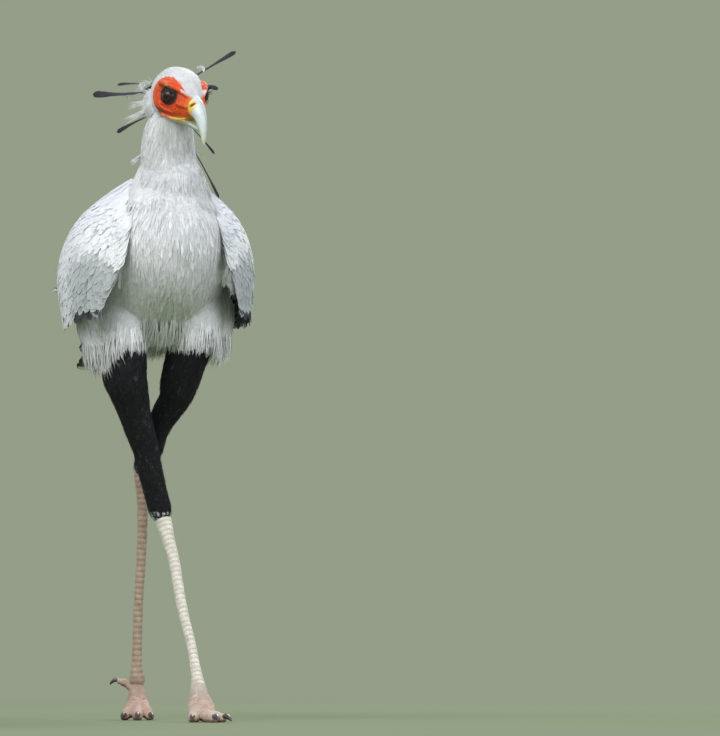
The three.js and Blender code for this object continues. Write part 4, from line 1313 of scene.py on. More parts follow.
class BuildLegs(Operator):
    """Make the scaled legs and feet, with shields down the front and pads under the toes"""

    bl_idname = "bird.legs"
    bl_label = "Legs and feet"

    def execute(self, context):
        for name in SIDES:
            limb = LEGS[name]
            parts = [tube(limb_rings(limb["tarsus"], 110, 28, 0.3)),
                     tube(limb_rings(limb["pad"], 20, 24, 0.2))]
            if name == "right":
                parts.append(tube(limb_rings(INSTEP, 24, 28, 0.2)))
            for toe in TOES:
                rows = [[x, y, z - 1.8, r] for x, y, z, r in limb[toe]]
                parts.append(tube(limb_rings(rows, 34, 22, 0.2, UP, lambda v: 0.6 * np.sin(v * np.pi * 6))))
            leg = new_mesh(f"leg_{name}", *joined(parts))
            outward(leg)
            fused(leg, 0.0012, 4)
            points, normals = mesh_points(leg)
            path = curve(limb["tarsus"], np.linspace(0, 1, 200))[:, :3]
            near = np.linalg.norm(points[:, None] - path[None, ::2], axis=2).argmin(axis=1) * 2
            course = unit(np.gradient(path, axis=0))[near]
            spoke = points - path[near]
            ahead = np.einsum("ij,ij->i", spoke, course)
            lengths = np.linalg.norm(np.diff(path, axis=0), axis=1)
            run = np.concatenate([[0], np.cumsum(lengths)])[near] + ahead
            spoke = unit(spoke - course * ahead[:, None])
            flow = np.arctan2(spoke[:, 0], -spoke[:, 1])
            shank = step(52, 68, points[:, 2])
            shields = step(0.05, 0.35, -spoke[:, 1]) * shank
            bands = waves(np.clip(((run / SHIELD_LENGTH) % 1) * 1.15, 0, 1))
            pebbles = np.sin(run * 1.55 + np.pi * (np.floor(flow * 5) % 2)) * np.sin(flow * 15)
            toes = np.concatenate([curve(full_rows(limb[toe]), np.linspace(0, 1, 60))[:, :3] for toe in TOES])
            toe_run = (np.linalg.norm(points[:, None] - toes[None], axis=2).argmin(axis=1) % 60) / 60
            toe_bands = waves((toe_run * 11) % 1)
            over = step(0.1, 0.5, normals[:, 2]) * (1 - shank)
            under = step(-0.1, -0.5, normals[:, 2]) * (1 - shank)
            relief = (0.62 * np.sqrt(bands) * shields + 0.20 * pebbles * (1 - shields) * shank
                      + 0.55 * np.sqrt(toe_bands) * over + 0.3 * np.sin(toe_run * 60) * under)
            points = points + normals * relief[:, None]
            points[:, 2] = np.maximum(points[:, 2], 0.2)
            move_points(leg, points)
            # The rear leg takes the leg's colour in painted shade, darker and browner than the forward leg
            light = np.array(settings().leg_colour if name == "right" else settings().shaded_rear_leg_colour)
            colour = blend(light, FOOT_COLOUR, (step(80, 30, points[:, 2]) * 0.75)[:, None])
            # Darker in the grooves between the scales of the shank and toes: painted shade
            groove = 1 - 0.22 * (shields * step(0.35, 0.0, bands) + over * step(0.35, 0.0, toe_bands))
            colour = colour * (groove * (1 + 0.06 * np.sin(points[:, 2] * 0.21 + 3 * flow)))[:, None]
            # Darker and redder on the toes' undersides, which face the floor: painted shade
            paint(leg.data, "Flush", blend(colour, colour * [0.62, 0.50, 0.46], under[:, None]))
            nodes = [f"tarsus_{name}", f"foot_{name}", *(f"toe_{toe}_{name}" for toe in TOES)]
            finish(leg, "leg_skin", leg_material(), *nodes)
        return {"FINISHED"}


CLAW_ROOT, CLAW_TIP = np.array([0.10, 0.085, 0.08]), np.array([0.018, 0.016, 0.016])


class BuildClaws(Operator):
    """Make the blunt dark claws"""

    bl_idname = "bird.claws"
    bl_label = "Claws"

    def execute(self, context):
        for name in SIDES:
            for toe in TOES:
                rows, columns = 30, 24
                ring = limb_rings(LEGS[name]["claws"][toe], rows, columns, 0.0, UP)
                ring[..., 2] = np.maximum(ring[..., 2], 0.3)
                claw = new_mesh(f"claw_{toe}_{name}_horn", *tube(ring))
                outward(claw)
                share = np.append(np.repeat(np.linspace(0, 1, rows), columns), [0, 1])[:, None]
                paint(claw.data, "Flush", blend(CLAW_ROOT, CLAW_TIP, share))
                finish(claw, "claw", horn_material(f"Claw {toe} {name}"), f"claw_{toe}_{name}")
        return {"FINISHED"}


def fluff(rng, plumage, root, way, normal, length, base, tip, bake, barbs, spread, width, rows=4, rise=0.16,
          bend=0.0):
    """Loose tufts: a few thin barbs that leave each root at slightly different angles."""
    side = np.cross(way, normal)
    for _ in range(barbs):
        turn = rng.normal(0, spread, len(root))[:, None]
        lift = rng.uniform(0.3, 1.6, len(root)) * rise
        heading = unit(way + side * turn)
        reach = length * rng.uniform(0.75, 1.15, len(root))
        start = root + side * rng.normal(0, width * 1.3, (len(root), 1))
        line, facing = straight_lines(start, heading, normal, reach, rows, lift, lift * 0.75 + bend)
        half = 0.5 * width * strand_outline(rows)[None] * rng.uniform(0.7, 1.3, (len(root), 1))
        shade = 1 + 0.07 * rng.normal(size=(len(root), 1))
        plumage.strands(line, facing, half, graded(base * shade, tip * shade), bake)


BODY_SAMPLES, HEAD_SAMPLES = 52000, 34000
HEAD_SPACING = 1.75
BARB_LIMIT = 128  # no loose barbs grow farther out than this, where they would reach through the wing


class BuildBodyFeathers(Operator):
    """Cover the skin of the trunk, neck and legs with small feathers and loose barbs"""

    bl_idname = "bird.body_feathers"
    bl_label = "Body feathers"

    def execute(self, context):
        rng = np.random.default_rng(11)
        skin = bpy.data.objects["body_skin"]
        points, normals = mesh_points(skin)
        spacing = settings().spacing * 1000
        long, short = settings().feather * 1000, settings().neck_feather * 1000

        def neckness(place):
            return step(770, 850, place[:, 2]) * step(-20, -50, place[:, 1])

        def gap(place, _):
            region, _, _ = body_regions(place)
            return spacing * np.where(region >= LEG_REGION, 0.82, blend(0.9, 0.64, neckness(place)))

        root, normal = scattered(rng, points, normals, triangles_of(skin), gap, BODY_SAMPLES)
        local = from_head(root)
        inside_head = (np.abs(local[:, 0]) < 40) & (local[:, 2] > -30) & (np.abs(local[:, 1]) < 33)
        low_wing = (root[:, 2] < 625) & (root[:, 1] < 60)
        to_wing = wing_gap(root)
        covered = ((to_wing < 12.0) & ~low_wing) | (to_wing < 7.0)
        keep = ~inside_head & ~covered
        root, normal = root[keep], normal[keep]
        region, lie, bake = body_regions(root)
        count = len(root)
        lie = lie + 0.07 * rng.normal(size=(count, 3))
        way = unit(lie - normal * np.sum(lie * normal, axis=1, keepdims=True))
        base, tip = plumage_colour(rng, root, region)
        size = rng.uniform(0.85, 1.15, count)
        slender = neckness(root)
        height, back = root[:, 2], root[:, 1]
        leg, trunk = region >= LEG_REGION, region == TRUNK_REGION
        edge = leg_edge(root)
        dark = leg & ~(height > edge)
        thin_leg = np.clip((height - 330) / 230, 0.0, 1)
        length = size * np.where(dark, 15 + 7 * thin_leg, blend(long, short, slender))
        width = size * np.where(dark, 4.5 + 2.0 * thin_leg, blend(6.5, 4.2, slender))
        over_edge = ((leg & ~dark) | trunk) & (height < edge + 60) & (height > edge - 30) & (back < 110)
        length = np.where(over_edge, np.clip(height - edge + 6, 10, length), length)
        length[leg & (height < shank_top(root, 390, 318))] = 11.0
        rows = 6
        bend = droop(points, normals, root, way, normal, length, 0.3)
        line, facing = straight_lines(root, way, normal, length, rows, np.full(count, 0.06), 0.05 + bend)
        half = 0.5 * width[:, None] * contour_outline(rows)[None]
        vanes = Plumage()
        vanes.vanes(line, facing, ragged(rng, half, 0.5), graded(base, tip), bake, columns=2, thick=0.3,
                    cup=0.04, roll=rng.normal(0, 0.03, count), crisp=0.04)
        vanes.pieces("body_feathers", "white_plumage", plumage_material())

        loose = Plumage()
        soft = ~leg & (rng.random(count) < 0.9) & (np.abs(root[:, 0]) < BARB_LIMIT)
        fluff(rng, loose, root[soft] + normal[soft] * 0.6, way[soft], normal[soft], length[soft] * 1.05,
              base[soft], tip[soft] * 1.02, bake[soft], 5, 0.16, 1.2, rise=0.06, bend=bend[soft] * 1.05)
        fluff(rng, loose, root[dark], way[dark], normal[dark], length[dark] * 1.05, base[dark],
              tip[dark] * 1.2, bake[dark], 2, 0.20, 1.1, bend=bend[dark])
        loose.pieces("loose_barbs", "white_plumage", plumage_material())

        flank = Plumage()
        drop = height - edge
        hem = (trunk | leg) & (drop > 4) & (drop < 46) & (back < 105) & (normal[:, 2] < 0.3)
        hanging = unit(way[hem] * 0.7 + np.array([0, 0.05, -0.9]) + normal[hem] * 0.08)
        pale = np.tile(WHITE, (hem.sum(), 1)) * rng.uniform(0.9, 1.04, (hem.sum(), 1))
        reach = (drop[hem] + rng.uniform(0, 15, hem.sum())) * 0.95
        fluff(rng, flank, root[hem], hanging, normal[hem], np.clip(reach, 8, 44), pale, pale, bake[hem], 6,
              0.13, 2.1, rows=5, rise=0.10, bend=0.06)
        flank.pieces("flank_feathers", "white_plumage", plumage_material())
        return {"FINISHED"}


class BuildHeadFeathers(Operator):
    """Cover the crown, cheeks and throat with short hair-like feathers, and the nape with longer ones"""

    bl_idname = "bird.head_feathers"
    bl_label = "Head feathers"

    def execute(self, context):
        rng = np.random.default_rng(23)
        head = bpy.data.objects["head_skin"]
        points, normals = mesh_points(head)
        root, normal = scattered(rng, points, normals, triangles_of(head), HEAD_SPACING, HEAD_SAMPLES)
        f, l, u = from_head(root).T
        bare = bareness(np.stack([f, l, u], axis=-1))
        keep = (bare < 0.5) & (f < 52) & ~((u < -28) & (f < 12) & (np.abs(l) < 22))
        root, normal, f, l, u = root[keep], normal[keep], f[keep], l[keep], u[keep]
        count = len(root)
        back = step(46, -20, f)[:, None]
        low = step(4, -18, u)[:, None]
        aside = LEFTWARD * np.sign(l)[:, None] * 0.25
        lie = -FORWARD + (aside + UPWARD * 0.35) * (1 - back) - UPWARD * low * 1.3
        lie = lie + 0.10 * rng.normal(size=(count, 3))
        way = unit(lie - normal * np.sum(lie * normal, axis=1, keepdims=True))
        behind = step(0, -34, f) * step(-30, 0, u)
        length = (4.6 + 4.5 * step(44, 5, f) + 4.0 * low[:, 0] + 5 * behind) * rng.uniform(0.8, 1.2, count)
        over_bare = bareness(from_head(root + way * length[:, None])) > 0.5
        length = np.where(over_bare, 1.2, length)
        crown = (step(26, 42, u) * step(44, 24, f))[:, None]
        speckle = rng.random((count, 1))
        base = blend(WHITE * 0.93, MAUVE * 1.7, crown * np.where(speckle < 0.5, 0.40, 0.1))
        tip = blend(WHITE, MAUVE * 2.0, crown * np.where(speckle < 0.5, 0.25, 0.05))
        vary = 1 + 0.05 * rng.normal(size=(count, 1))
        bake = head_uv(f, l, u)
        fine = Plumage()
        fluff(rng, fine, root, way, normal, length, base * vary, tip * vary, bake, 2, 0.16, 0.85, rows=3,
              rise=0.12)
        ruff = np.flatnonzero(behind > 0.35)[::3]
        standing = unit(way[ruff] - UPWARD * 0.5)
        fluff(rng, fine, root[ruff], standing, normal[ruff], length[ruff] * 1.3, base[ruff], tip[ruff],
              bake[ruff], 3, 0.2, 1.1, rise=0.10)
        fine.pieces("head_feathers", "white_plumage", plumage_material())
        return {"FINISHED"}


LASH_ROWS = 6


class BuildLashes(Operator):
    """Make the black lashes of the upper lids and the shorter ones below"""

    bl_idname = "bird.lashes"
    bl_label = "Lashes"

    def execute(self, context):
        rng = np.random.default_rng(31)
        lashes = Plumage()
        for side in SIDES.values():
            centre, out, across, above = eye_frame(side)
            many = settings().lashes
            for upper, reach, width in ((1, 9.0, 0.75), (-1, 3.5, 0.4)):
                turn = np.radians(rng.uniform(18, 162, many)) * upper
                spoke = np.cos(turn)[:, None] * across + np.sin(turn)[:, None] * above
                tilt = np.radians(rng.uniform(47, 53, many))[:, None]
                root = centre + (EYE_RADIUS + 1.0) * (np.cos(tilt) * out + np.sin(tilt) * spoke)
                way = unit(out * 0.9 + spoke * 0.55 - FORWARD * 0.25)
                length = reach * rng.uniform(0.7, 1.15, many)
                line, facing = straight_lines(root, way, spoke, length, LASH_ROWS, np.full(many, 0.05),
                                              np.full(many, -0.35))
                half = 0.5 * width * strand_outline(LASH_ROWS)[None] * np.ones((many, 1))
                ink = np.tile(BLACK, (many, 1))
                lashes.strands(line, facing, half, graded(ink, ink),
                               region_uv(LASH_TILE, rng.random(many), rng.random(many)))
        lashes.pieces("lashes", "black_plumage", plumage_material())
        return {"FINISHED"}


ROOT_DEPTH = 3.2  # of the wing feathers under the wing's face


def wing_place(s, t, side):
    """The wing's outside face, carried straight on past its edges."""
    small = 0.01
    inner_s, inner_t = np.clip(s, small, 1 - small), np.clip(t, small, 1 - small)
    point, normal = wing_face(inner_s, inner_t, side)
    back = wing_point(inner_s + small, inner_t, side) - wing_point(inner_s - small, inner_t, side)
    down = wing_point(inner_s, inner_t + small, side) - wing_point(inner_s, inner_t - small, side)
    back, down = back / (2 * small), down / (2 * small)
    return point + back * (s - inner_s)[..., None] + down * (t - inner_t)[..., None], normal, back, down


def wing_lines(s, t, length, fall, side, rows, lift):
    """Midlines over the wing from each root, at an angle below the way back, each with its normals."""
    _, _, back, down = wing_place(s, t, side)
    v = np.linspace(0, 1, rows + 1)[None]
    along_s = (length * np.cos(fall) / np.linalg.norm(back, axis=-1))[:, None] * v
    along_t = (length * np.sin(fall) / np.linalg.norm(down, axis=-1))[:, None] * v
    point, normal, _, _ = wing_place(s[:, None] + along_s, t[:, None] + along_t, side)
    rise = -ROOT_DEPTH + (lift[:, None] + ROOT_DEPTH) * v**0.6
    return point + normal * rise[..., None], normal


# Rows of wing feathers: first and last root along the wing, number of rows, feathers in a row, lowest root
# down the wing, length, width, and how far their tips stand off
WING_TIERS = [
    ("primary", 0.58, 0.68, 2, 7, 0.84, 150.0, 30.0, 0.0),
    ("secondary", 0.42, 0.58, 3, 9, 0.84, 112.0, 30.0, 0.0),
    ("hem", 0.03, 0.50, 11, 3, 0.87, 40.0, 17.0, -1.5),
    ("greater", 0.34, 0.62, 6, 13, 0.86, 66.0, 22.0, -0.5),
    ("median", 0.16, 0.48, 11, 19, 0.86, 46.0, 16.0, -0.5),
    ("lesser", -0.01, 0.32, 16, 24, 0.84, 31.0, 12.0, 0.0),
    ("shoulder", -0.06, 0.02, 5, 20, 0.44, 40.0, 12.0, 2.0),
]
FLIGHT_TOP, COVERT_TOP = {"primary": 0.12, "secondary": 0.12, "hem": 0.78}, 0.01  # highest roots down the wing
SLANT = {"primary": 0.06, "secondary": 0.06, "greater": 0.06, "median": 0.06}  # how far lower roots lie back
WING_LIE = [[0.0, 84], [0.12, 74], [0.25, 52], [0.4, 30], [0.6, 15], [1.0, 8]]


def wing_colours(rng, kind, s, t):
    """Base, tip and edge colours of the wing's feathers."""
    count = len(s)
    shade = (1 + 0.04 * rng.normal(size=count))[:, None]
    if kind in FLIGHT_TOP:
        pale_edge = np.where(rng.random((count, 1)) < 0.4, PEARL * 0.9, SLATE)
        ground = blend(BLACK * 1.4, SLATE * 1.6, (kind == "hem") * rng.random((count, 1)))
        return ground, ground * 0.8, pale_edge if kind == "hem" else np.tile(SLATE, (count, 1))
    panel = (step(0.42, 0.56, t) * step(0.26, 0.15, s) * (kind != "shoulder"))[:, None]
    shoulder = (step(0.24, 0.34, t) * step(0.50, 0.42, t) * step(0.24, 0.14, s))[:, None]
    rear = step(0.30, 0.55, s)[:, None]
    grey = np.maximum(0.9 * panel, 0.4 * rear)
    base = blend(WHITE * [0.90, 0.91, 0.95], GREY * [0.95, 1.0, 0.93], grey) * shade
    tip = blend(WHITE * [0.95, 0.96, 1.0], GREY * [1.25, 1.3, 1.2], grey) * shade
    # On the shoulder the tips are painted whiter than white: a painted highlight where the light falls
    tip = blend(tip, WHITE * 1.1, shoulder * (1 - panel))
    edge = blend(tip, WHITE, 0.25)
    streak = rng.random(count) < 0.03 + 0.20 * step(0.5, 0.7, t)
    base[streak] = blend(base[streak], SLATE, 0.75)
    tip[streak] = blend(tip[streak], GREY, 0.7)
    return base, tip, edge


class BuildWings(Operator):
    """Lay the folded wings' feathers in rows: coverts over secondaries over primaries"""

    bl_idname = "bird.wings"
    bl_label = "Wings"

    def execute(self, context):
        rng = np.random.default_rng(41)
        for name, side in SIDES.items():
            small, long = Plumage(), Plumage()
            for kind, first, last, rows_of, each, lowest, length, width, lift in WING_TIERS:
                flight = kind in FLIGHT_TOP
                highest = FLIGHT_TOP.get(kind, COVERT_TOP)
                row = np.arange(rows_of)[:, None]
                offset = (0.5 * (row % 2) - 0.25) * (lowest - highest) / each
                t = np.linspace(highest, lowest, each)[None] + offset
                s = blend(first, last, row / (rows_of - 1)) + SLANT.get(kind, 0.0) * (t - 0.5)
                s, t = s.ravel(), t.ravel()
                count = len(s)
                s = s + rng.normal(0, 0.004, count)
                t = t + rng.normal(0, 0.006, count)
                fall = np.radians(through(WING_LIE, np.clip(s, 0, 1))[:, 0]) + rng.normal(0, 0.04, count)
                reach = length * rng.uniform(0.9, 1.1, count)
                rows = 16 if flight else 8
                line, facing = wing_lines(s, t, reach, fall, side, rows, lift + rng.normal(0, 0.25, count))
                outline = long_outline(rows) if flight else contour_outline(rows)
                half = 0.5 * width * outline[None] * rng.uniform(0.9, 1.1, (count, 1))
                base, tip, edge = wing_colours(rng, kind, s, t)
                bake = region_uv(WING_TILES[side], np.clip(s, 0, 1), t)
                target = long if flight else small
                target.vanes(line, facing, ragged(rng, half, 0.2 if flight else 0.35), graded(base, tip, edge),
                             bake, columns=6 if flight else 4, thick=0.7 if flight else 0.4, cup=0.05,
                             roll=np.full(count, 0.02 * side), crisp=0.6 if flight else 0.10)
                if not flight:
                    tangent = unit(line[:, -1] - line[:, -3])
                    fluff(rng, small, line[:, -4], tangent, facing[:, -4], reach * 0.42, tip, edge, bake, 4,
                          0.13, 1.1, rows=3, rise=0.02)
            small.pieces(f"wing_coverts_{name}", "grey_plumage", plumage_material(), f"wing_{name}")
            long.pieces(f"wing_flight_{name}", "grey_plumage", flight_material(), f"wing_{name}")
        return {"FINISHED"}


TAIL_ROOT = np.array([0.0, 205.0, 662.0])
TAIL_TURN, TAIL_FALL = math.radians(6.8), math.radians(16.4)
TAIL_SAG, TAIL_LAYER = 14.0, 2.2
TAIL_ROWS, TAIL_COVERTS, TAIL_COVERT_ROWS, TAIL_COVERT_WIDTH = 60, 34, 12, 27
# Length of each pair of feathers, how far it turns aside in degrees, and its width
TAIL_PAIRS = [(540, 0.6, 42), (400, 1.0, 40), (365, 1.6, 39), (335, 2.3, 38), (305, 3.1, 37), (275, 4.0, 36)]
# Bands across the tail feathers: where each begins and is full, and where it fades and ends, along the feather
MIDDLE_BANDS = [(BLACK, 0.79, 0.81, 0.925, 0.935), (WHITE, 0.93, 0.945, 1.9, 2.0)]
SIDE_BANDS = [(BLACK, 0.50, 0.53, 0.63, 0.66), (BLACK, 0.76, 0.79, 0.91, 0.93), (WHITE, 0.91, 0.93, 1.9, 2.0)]


def tail_way(turn, fall):
    """The way that a tail feather points, turned aside and falling towards its tip."""
    level, drop = math.cos(fall), np.full(np.shape(turn), -math.sin(fall))
    return np.stack([np.sin(turn) * level, np.cos(turn) * level, drop], axis=-1)


def banded(ground, bands):
    """The colour over one vane, crossed by bands that bow towards its root at the edges."""

    def tint(across, along):
        bowed = along + 0.012 * across * across
        layers = [(tone, step(begin, full, bowed) * step(end, fade, bowed))
                  for tone, begin, full, fade, end in bands]
        return layered(np.tile(ground, (len(along), 1)), *layers)[None]

    return tint


class BuildTail(Operator):
    """Make the two long middle tail feathers, the five pairs beside them and the coverts at their roots"""

    bl_idname = "bird.tail"
    bl_label = "Tail"

    def execute(self, context):
        rng = np.random.default_rng(53)
        tail = Plumage()
        v = np.linspace(0, 1, TAIL_ROWS + 1)
        for pair, (length, spread, width) in enumerate(TAIL_PAIRS):
            for side in (-1, 1):
                way = tail_way(TAIL_TURN + side * math.radians(spread), TAIL_FALL)
                layer = TAIL_LAYER * (5.5 - 2 * pair - (side > 0))
                root = TAIL_ROOT + [side * (6 + pair * 2), 6, layer]
                far = length * v / TAIL_PAIRS[0][0]
                line = root + way * (length * v)[:, None]
                line[:, 2] -= TAIL_SAG * (np.sin(np.pi * far) - far * far)
                half = 0.5 * width * long_outline(TAIL_ROWS)[None]
                tint = banded(GREY * 1.15, MIDDLE_BANDS) if pair == 0 else banded(GREY * 0.75, SIDE_BANDS)
                bake = region_uv(TAIL_TILE, np.array([0.1 + 0.07 * (pair * 2 + (side > 0))]), np.array([0.5]))
                tail.vanes(line[None], np.tile(UP, (1, TAIL_ROWS + 1, 1)), ragged(rng, half, 0.12), tint, bake,
                           columns=12, thick=1.0, cup=0.03)
        tail.pieces("tail_feathers", "grey_plumage", flight_material(), "tail")
        coverts = Plumage()
        count, rows = TAIL_COVERTS, TAIL_COVERT_ROWS
        for over in (1, -1):
            across = rng.uniform(-1, 1, count)
            back = rng.uniform(-34, 46, count)
            way = tail_way(TAIL_TURN + np.radians(across * 9), TAIL_FALL - over * 0.03)
            above = over * (19 - 7 * across**2) - back * 0.16
            root = TAIL_ROOT + np.stack([across * 27, back, above], axis=-1)
            normal = unit(np.stack([across * 0.45, np.zeros(count), np.full(count, float(over))], axis=-1))
            length = rng.uniform(60, 105, count)
            line, facing = straight_lines(root, way, normal, length, rows, np.full(count, 0.05),
                                          np.full(count, 0.08))
            half = 0.5 * TAIL_COVERT_WIDTH * contour_outline(rows)[None] * rng.uniform(0.8, 1.1, (count, 1))
            dark = (rng.random(count) < (0.25 if over > 0 else 0.55))[:, None]
            base = np.where(dark, BLACK, WHITE * 0.75)
            tip = np.where(dark, BLACK * 1.5, WHITE)
            bake = region_uv(TAIL_COVERT_TILE, 0.5 + 0.4 * across, (back + 40) / 100)
            coverts.vanes(line, facing, ragged(rng, half, 0.3), graded(base, tip), bake, columns=6, thick=0.8,
                          cup=0.15, roll=rng.normal(0, 0.06, count))
        coverts.pieces("tail_coverts", "grey_plumage", plumage_material(), "tail")
        return {"FINISHED"}


# Crest: each plume's root on the head or neck, its tip, how far it sags and its width
CREST = [
    (on_head([-28, -12, 26]), (18, 44, 974), -10, 11), (on_head([-30, 8, 22]), (58, 30, 950), -10, 12),
    (on_head([-33, -4, 14]), (-6, 46, 960), -10, 12), (on_head([-18, 22, 15]), (112, -56, 1022), -1, 7.5),
    (on_head([-24, 18, 14]), (82, -68, 966), -3, 9), (on_head([-33, -16, 4]), (-109, -48, 957), 5, 13),
    (on_head([-30, -18, 16]), (-68, -38, 972), -1, 8), (on_head([-36, 0, 4]), (6, 40, 932), -10, 13),
    ((-16, -92, 930), (-67, -26, 899), -3, 8.5), ((10, -86, 926), (24, 42, 884), -12, 13),
    ((26, -92, 914), (80, -52, 866), -4, 5), ((-8, -78, 900), (-14, 44, 852), -10, 13),
    ((34, -88, 880), (68, -136, 798), -5, 5),
]
PLUME_FACING = np.array([0.0, -0.85, 0.5])
PLUME_ROWS, PLUME_BARBS = 34, 5
# Curled downy feathers at the roots of the plumes: where each tuft grows and the way that it leaves
CURLS = [((-38, -100, 969), (-0.9, 0.1, 0.3)), ((-56, -72, 957), (-0.9, 0.0, 0.3)),
         ((50, -108, 990), (0.3, 0.0, 0.9))]
CURL_BARBS, CURL_ROWS = 9, 13
# Loose pale feathers behind the cheek: root and tip of each tuft
WISPS = [((-34, -100, 945), (-58, -80, 938)), ((-34, -100, 932), (-64, -80, 916)),
         ((-42, -90, 862), (-56, -76, 850))]
WISP_FEATHERS = 12


class BuildCrest(Operator):
    """Make the crest's long dark plumes, narrow at the root and wide near the tip"""

    bl_idname = "bird.crest"
    bl_label = "Crest"

    def execute(self, context):
        rng = np.random.default_rng(61)
        along = np.linspace(0, 1, PLUME_ROWS + 1)
        v = along[:, None]
        swell = 0.42 + 0.58 * np.exp(-(((along - 0.92) / 0.22) ** 2))
        outline = swell * np.sqrt(np.clip(1 - (np.maximum(along - 0.94, 0) / 0.062) ** 2, 0, 1))
        dark = graded(np.array([SLATE * 1.3]), np.array([BLACK * 1.5]), power=0.7)
        many = PLUME_BARBS
        crest, curls = Plumage(), Plumage()
        for number, (root, tip, sag, width) in enumerate(CREST):
            root, tip = np.asarray(root, dtype=float), np.asarray(tip, dtype=float)
            middle = blend(root, tip, 0.5) - UP * sag
            line = root * (1 - v) ** 2 + middle * 2 * v * (1 - v) + tip * v**2
            half = 0.5 * width * outline[None]
            bake = region_uv(CREST_TILE, np.array([0.05 + 0.07 * number]), np.array([0.5]))
            crest.vanes(line[None], np.tile(PLUME_FACING, (1, PLUME_ROWS + 1, 1)), ragged(rng, half, 0.15), dark,
                        bake, columns=6, thick=1.1, cup=0.10)
            way = np.tile(unit(line[4] - line[0]), (many, 1))
            fluff(rng, crest, root + way * 6, way, np.tile(PLUME_FACING, (many, 1)), rng.uniform(20, 34, many),
                  np.tile(PEARL, (many, 1)), np.tile(WHITE, (many, 1)), np.repeat(bake, many, axis=0), 3, 0.30,
                  1.0, rows=6, rise=0.3)
        many = CURL_BARBS
        for root, way in CURLS:
            turn = np.linspace(0, 1.6 * np.pi, CURL_ROWS + 1)[None]
            size = rng.uniform(3.0, 5.0, (many, 1))
            front = unit(PLUME_FACING + 0.15 * rng.normal(size=(many, 3)))
            way = np.array(way) + 0.3 * rng.normal(size=(many, 3))
            way = unit(way - front * np.sum(way * front, axis=1, keepdims=True))
            lift = np.cross(front, way)
            ring = way[:, None] * (size * np.sin(turn) + 0.5 * size * turn)[..., None]
            ring = ring + lift[:, None] * (size * (1 - np.cos(turn)))[..., None]
            tone = blend(PEARL * 0.7, WHITE, rng.random((many, 1)))
            half = 0.5 * strand_outline(CURL_ROWS) * np.ones((many, 1))
            curls.strands(root + ring, np.repeat(front[:, None], CURL_ROWS + 1, axis=1), half, graded(tone, tone),
                          region_uv(CURL_TILE, rng.random(many), rng.random(many)))
        many = WISP_FEATHERS
        for root, tip in WISPS:
            start = np.array(root) + rng.normal(0, 1.5, (many, 3))
            way = np.array(tip) - start
            pale = np.tile(WHITE * 0.95, (many, 1))
            bake = region_uv(WISP_TILE, rng.random(many), rng.random(many))
            fluff(rng, curls, start, unit(way), np.tile(PLUME_FACING, (many, 1)), np.linalg.norm(way, axis=1),
                  pale, pale, bake, 2, 0.12, 1.0, rows=6, rise=0.1)
        curls.pieces("crest_curls", "white_plumage", plumage_material())
        crest.pieces("crest_plumes", "black_plumage", flight_material(), "head", "neck")
        return {"FINISHED"}


# Camera: it looks at the bird a little from its right, level, from far off
CAMERA_TURN = math.radians(13.0)
CAMERA_DISTANCE = 40.0
FRAME_HEIGHT = 1.1239  # metres of the scene that the tall side of the picture holds
AIM = (311.5, 539.0)  # millimetres to the picture's right of the hips, and up
SENSOR = 36.0
BACKDROP = (0.30, 0.34, 0.25, 1)
FLOOR_TONE = (0.21, 0.25, 0.16, 1)
UNLIT = (0, 0, 0, 1)
FADE_START, FADE_END = 0.6, 2.8  # metres from the middle, over which the floor turns into the backdrop
SKY_COLOUR, SKY_STRENGTH = (0.90, 0.95, 1.0, 1), 0.64
# Lamps: millimetres to the picture's right, behind the bird and up, then size, power and colour
LAMPS = {
    "key": ((-1300, -2300, 3000), 2.8, 98.0, (1.0, 0.98, 0.95)),
    "fill": ((2600, -2400, 1700), 2.8, 44.0, (0.97, 0.98, 1.0)),
    "rim": ((900, 2300, 2600), 1.6, 60.0, (1.0, 0.98, 0.95)),
}
LIT_PLACE = (0.0, 0.0, 0.6)


def facing_turn(place, target):
    """The turn of a lamp or camera at one place that looks at another."""
    return Vector(np.subtract(target, place)).to_track_quat("-Z", "Y").to_euler()


def area_light(name, place, size, power, colour):
    bpy.ops.object.light_add(type="AREA", location=tuple(place))
    light = bpy.context.active_object
    light.name = name
    light.data.shape = "DISK"
    light.data.size = size
    light.data.energy = power
    light.data.color = colour
    light.rotation_euler = facing_turn(place, LIT_PLACE)


def floor_material():
    """Lit near the bird and glowing like the backdrop far off, with a soft change between."""
    material = bpy.data.materials.new("Floor")
    material.use_nodes = True
    tree = material.node_tree
    shader = tree.nodes["Principled BSDF"]
    shader.inputs["Roughness"].default_value = 0.95
    shader.inputs["Specular IOR Level"].default_value = 0.0
    shader.inputs["Emission Strength"].default_value = 1.0
    place = tree.nodes.new("ShaderNodeTexCoord")
    length = tree.nodes.new("ShaderNodeVectorMath")
    length.operation = "LENGTH"
    fade = tree.nodes.new("ShaderNodeMapRange")
    fade.interpolation_type = "SMOOTHSTEP"
    fade.inputs["From Min"].default_value = FADE_START
    fade.inputs["From Max"].default_value = FADE_END
    tree.links.new(place.outputs["Object"], length.inputs[0])
    tree.links.new(length.outputs["Value"], fade.inputs["Value"])
    for socket, near, far in (("Base Color", FLOOR_TONE, UNLIT), ("Emission Color", UNLIT, BACKDROP)):
        mix = tree.nodes.new("ShaderNodeMix")
        mix.data_type = "RGBA"
        mix.inputs["A"].default_value = near
        mix.inputs["B"].default_value = far
        tree.links.new(fade.outputs["Result"], mix.inputs["Factor"])
        tree.links.new(mix.outputs["Result"], shader.inputs[socket])
    return material


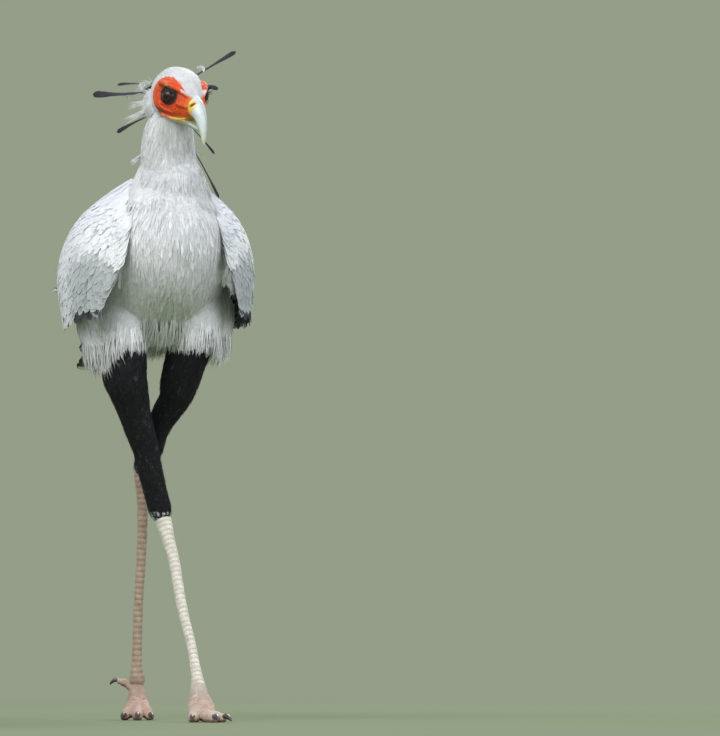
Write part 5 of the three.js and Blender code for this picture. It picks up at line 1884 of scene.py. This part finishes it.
def soft_sky():
    """A world that lights the bird softly, and that the camera sees as the plain backdrop."""
    sky = bpy.data.worlds.new("Soft sky")
    sky.use_nodes = True
    tree = sky.node_tree
    light = tree.nodes["Background"]
    light.inputs["Color"].default_value = SKY_COLOUR
    light.inputs["Strength"].default_value = SKY_STRENGTH
    seen = tree.nodes.new("ShaderNodeBackground")
    seen.inputs["Color"].default_value = BACKDROP
    ray = tree.nodes.new("ShaderNodeLightPath")
    either = tree.nodes.new("ShaderNodeMixShader")
    tree.links.new(ray.outputs["Is Camera Ray"], either.inputs["Fac"])
    tree.links.new(light.outputs[0], either.inputs[1])
    tree.links.new(seen.outputs[0], either.inputs[2])
    tree.links.new(either.outputs[0], tree.nodes["World Output"].inputs["Surface"])
    return sky


class BuildStage(Operator):
    """Add the floor, the soft lights and the camera"""

    bl_idname = "bird.stage"
    bl_label = "Stage"

    def execute(self, context):
        bpy.ops.object.select_all(action="DESELECT")
        bpy.ops.mesh.primitive_plane_add(size=160.0, location=(0, 0, 0))
        floor = context.active_object
        floor.name = "floor"
        floor.data.materials.append(floor_material())
        context.scene.world = soft_sky()
        right = np.array([math.cos(CAMERA_TURN), -math.sin(CAMERA_TURN), 0.0])
        ahead = np.array([math.sin(CAMERA_TURN), math.cos(CAMERA_TURN), 0.0])
        for name, ((x, y, z), size, power, colour) in LAMPS.items():
            area_light(name, world(x * right + y * ahead + z * UP), size, power, colour)
        aim = world(right * AIM[0] + UP * AIM[1])
        place = aim - ahead * CAMERA_DISTANCE
        bpy.ops.object.camera_add(location=tuple(place))
        camera = context.active_object
        camera.name = "camera"
        camera.data.sensor_width = SENSOR
        camera.data.sensor_fit = "AUTO"
        camera.data.lens = SENSOR * CAMERA_DISTANCE / FRAME_HEIGHT
        camera.data.clip_end = 300.0
        camera.rotation_euler = facing_turn(place, aim)
        context.scene.camera = camera
        context.scene.view_settings.view_transform = "Standard"
        return {"FINISHED"}


OPERATORS = (BuildStage, BuildSkin, BuildHead, BuildEyes, BuildBill, BuildLegs, BuildClaws, BuildBodyFeathers,
             BuildHeadFeathers, BuildLashes, BuildWings, BuildTail, BuildCrest)


class BirdPanel(Panel):
    """Lists the bird's sizes, colours and pieces"""

    bl_idname = "VIEW3D_PT_bird"
    bl_label = "Secretary bird"
    bl_space_type = "VIEW_3D"
    bl_region_type = "UI"
    bl_category = "Bird"

    def draw(self, context):
        for name in BirdSettings.__annotations__:
            self.layout.prop(context.scene.bird_settings, name)
        for operator in OPERATORS:
            self.layout.operator(operator.bl_idname)


CLASSES = (BirdSettings, *OPERATORS, BirdPanel)


def register():
    for part in CLASSES:
        bpy.utils.register_class(part)
    bpy.types.Scene.bird_settings = PointerProperty(type=BirdSettings)


def unregister():
    del bpy.types.Scene.bird_settings
    for part in reversed(CLASSES):
        bpy.utils.unregister_class(part)


def main():
    register()
    for operator in OPERATORS:
        group, name = operator.bl_idname.split(".")
        getattr(getattr(bpy.ops, group), name)()


if __name__ == "__main__":
    main()
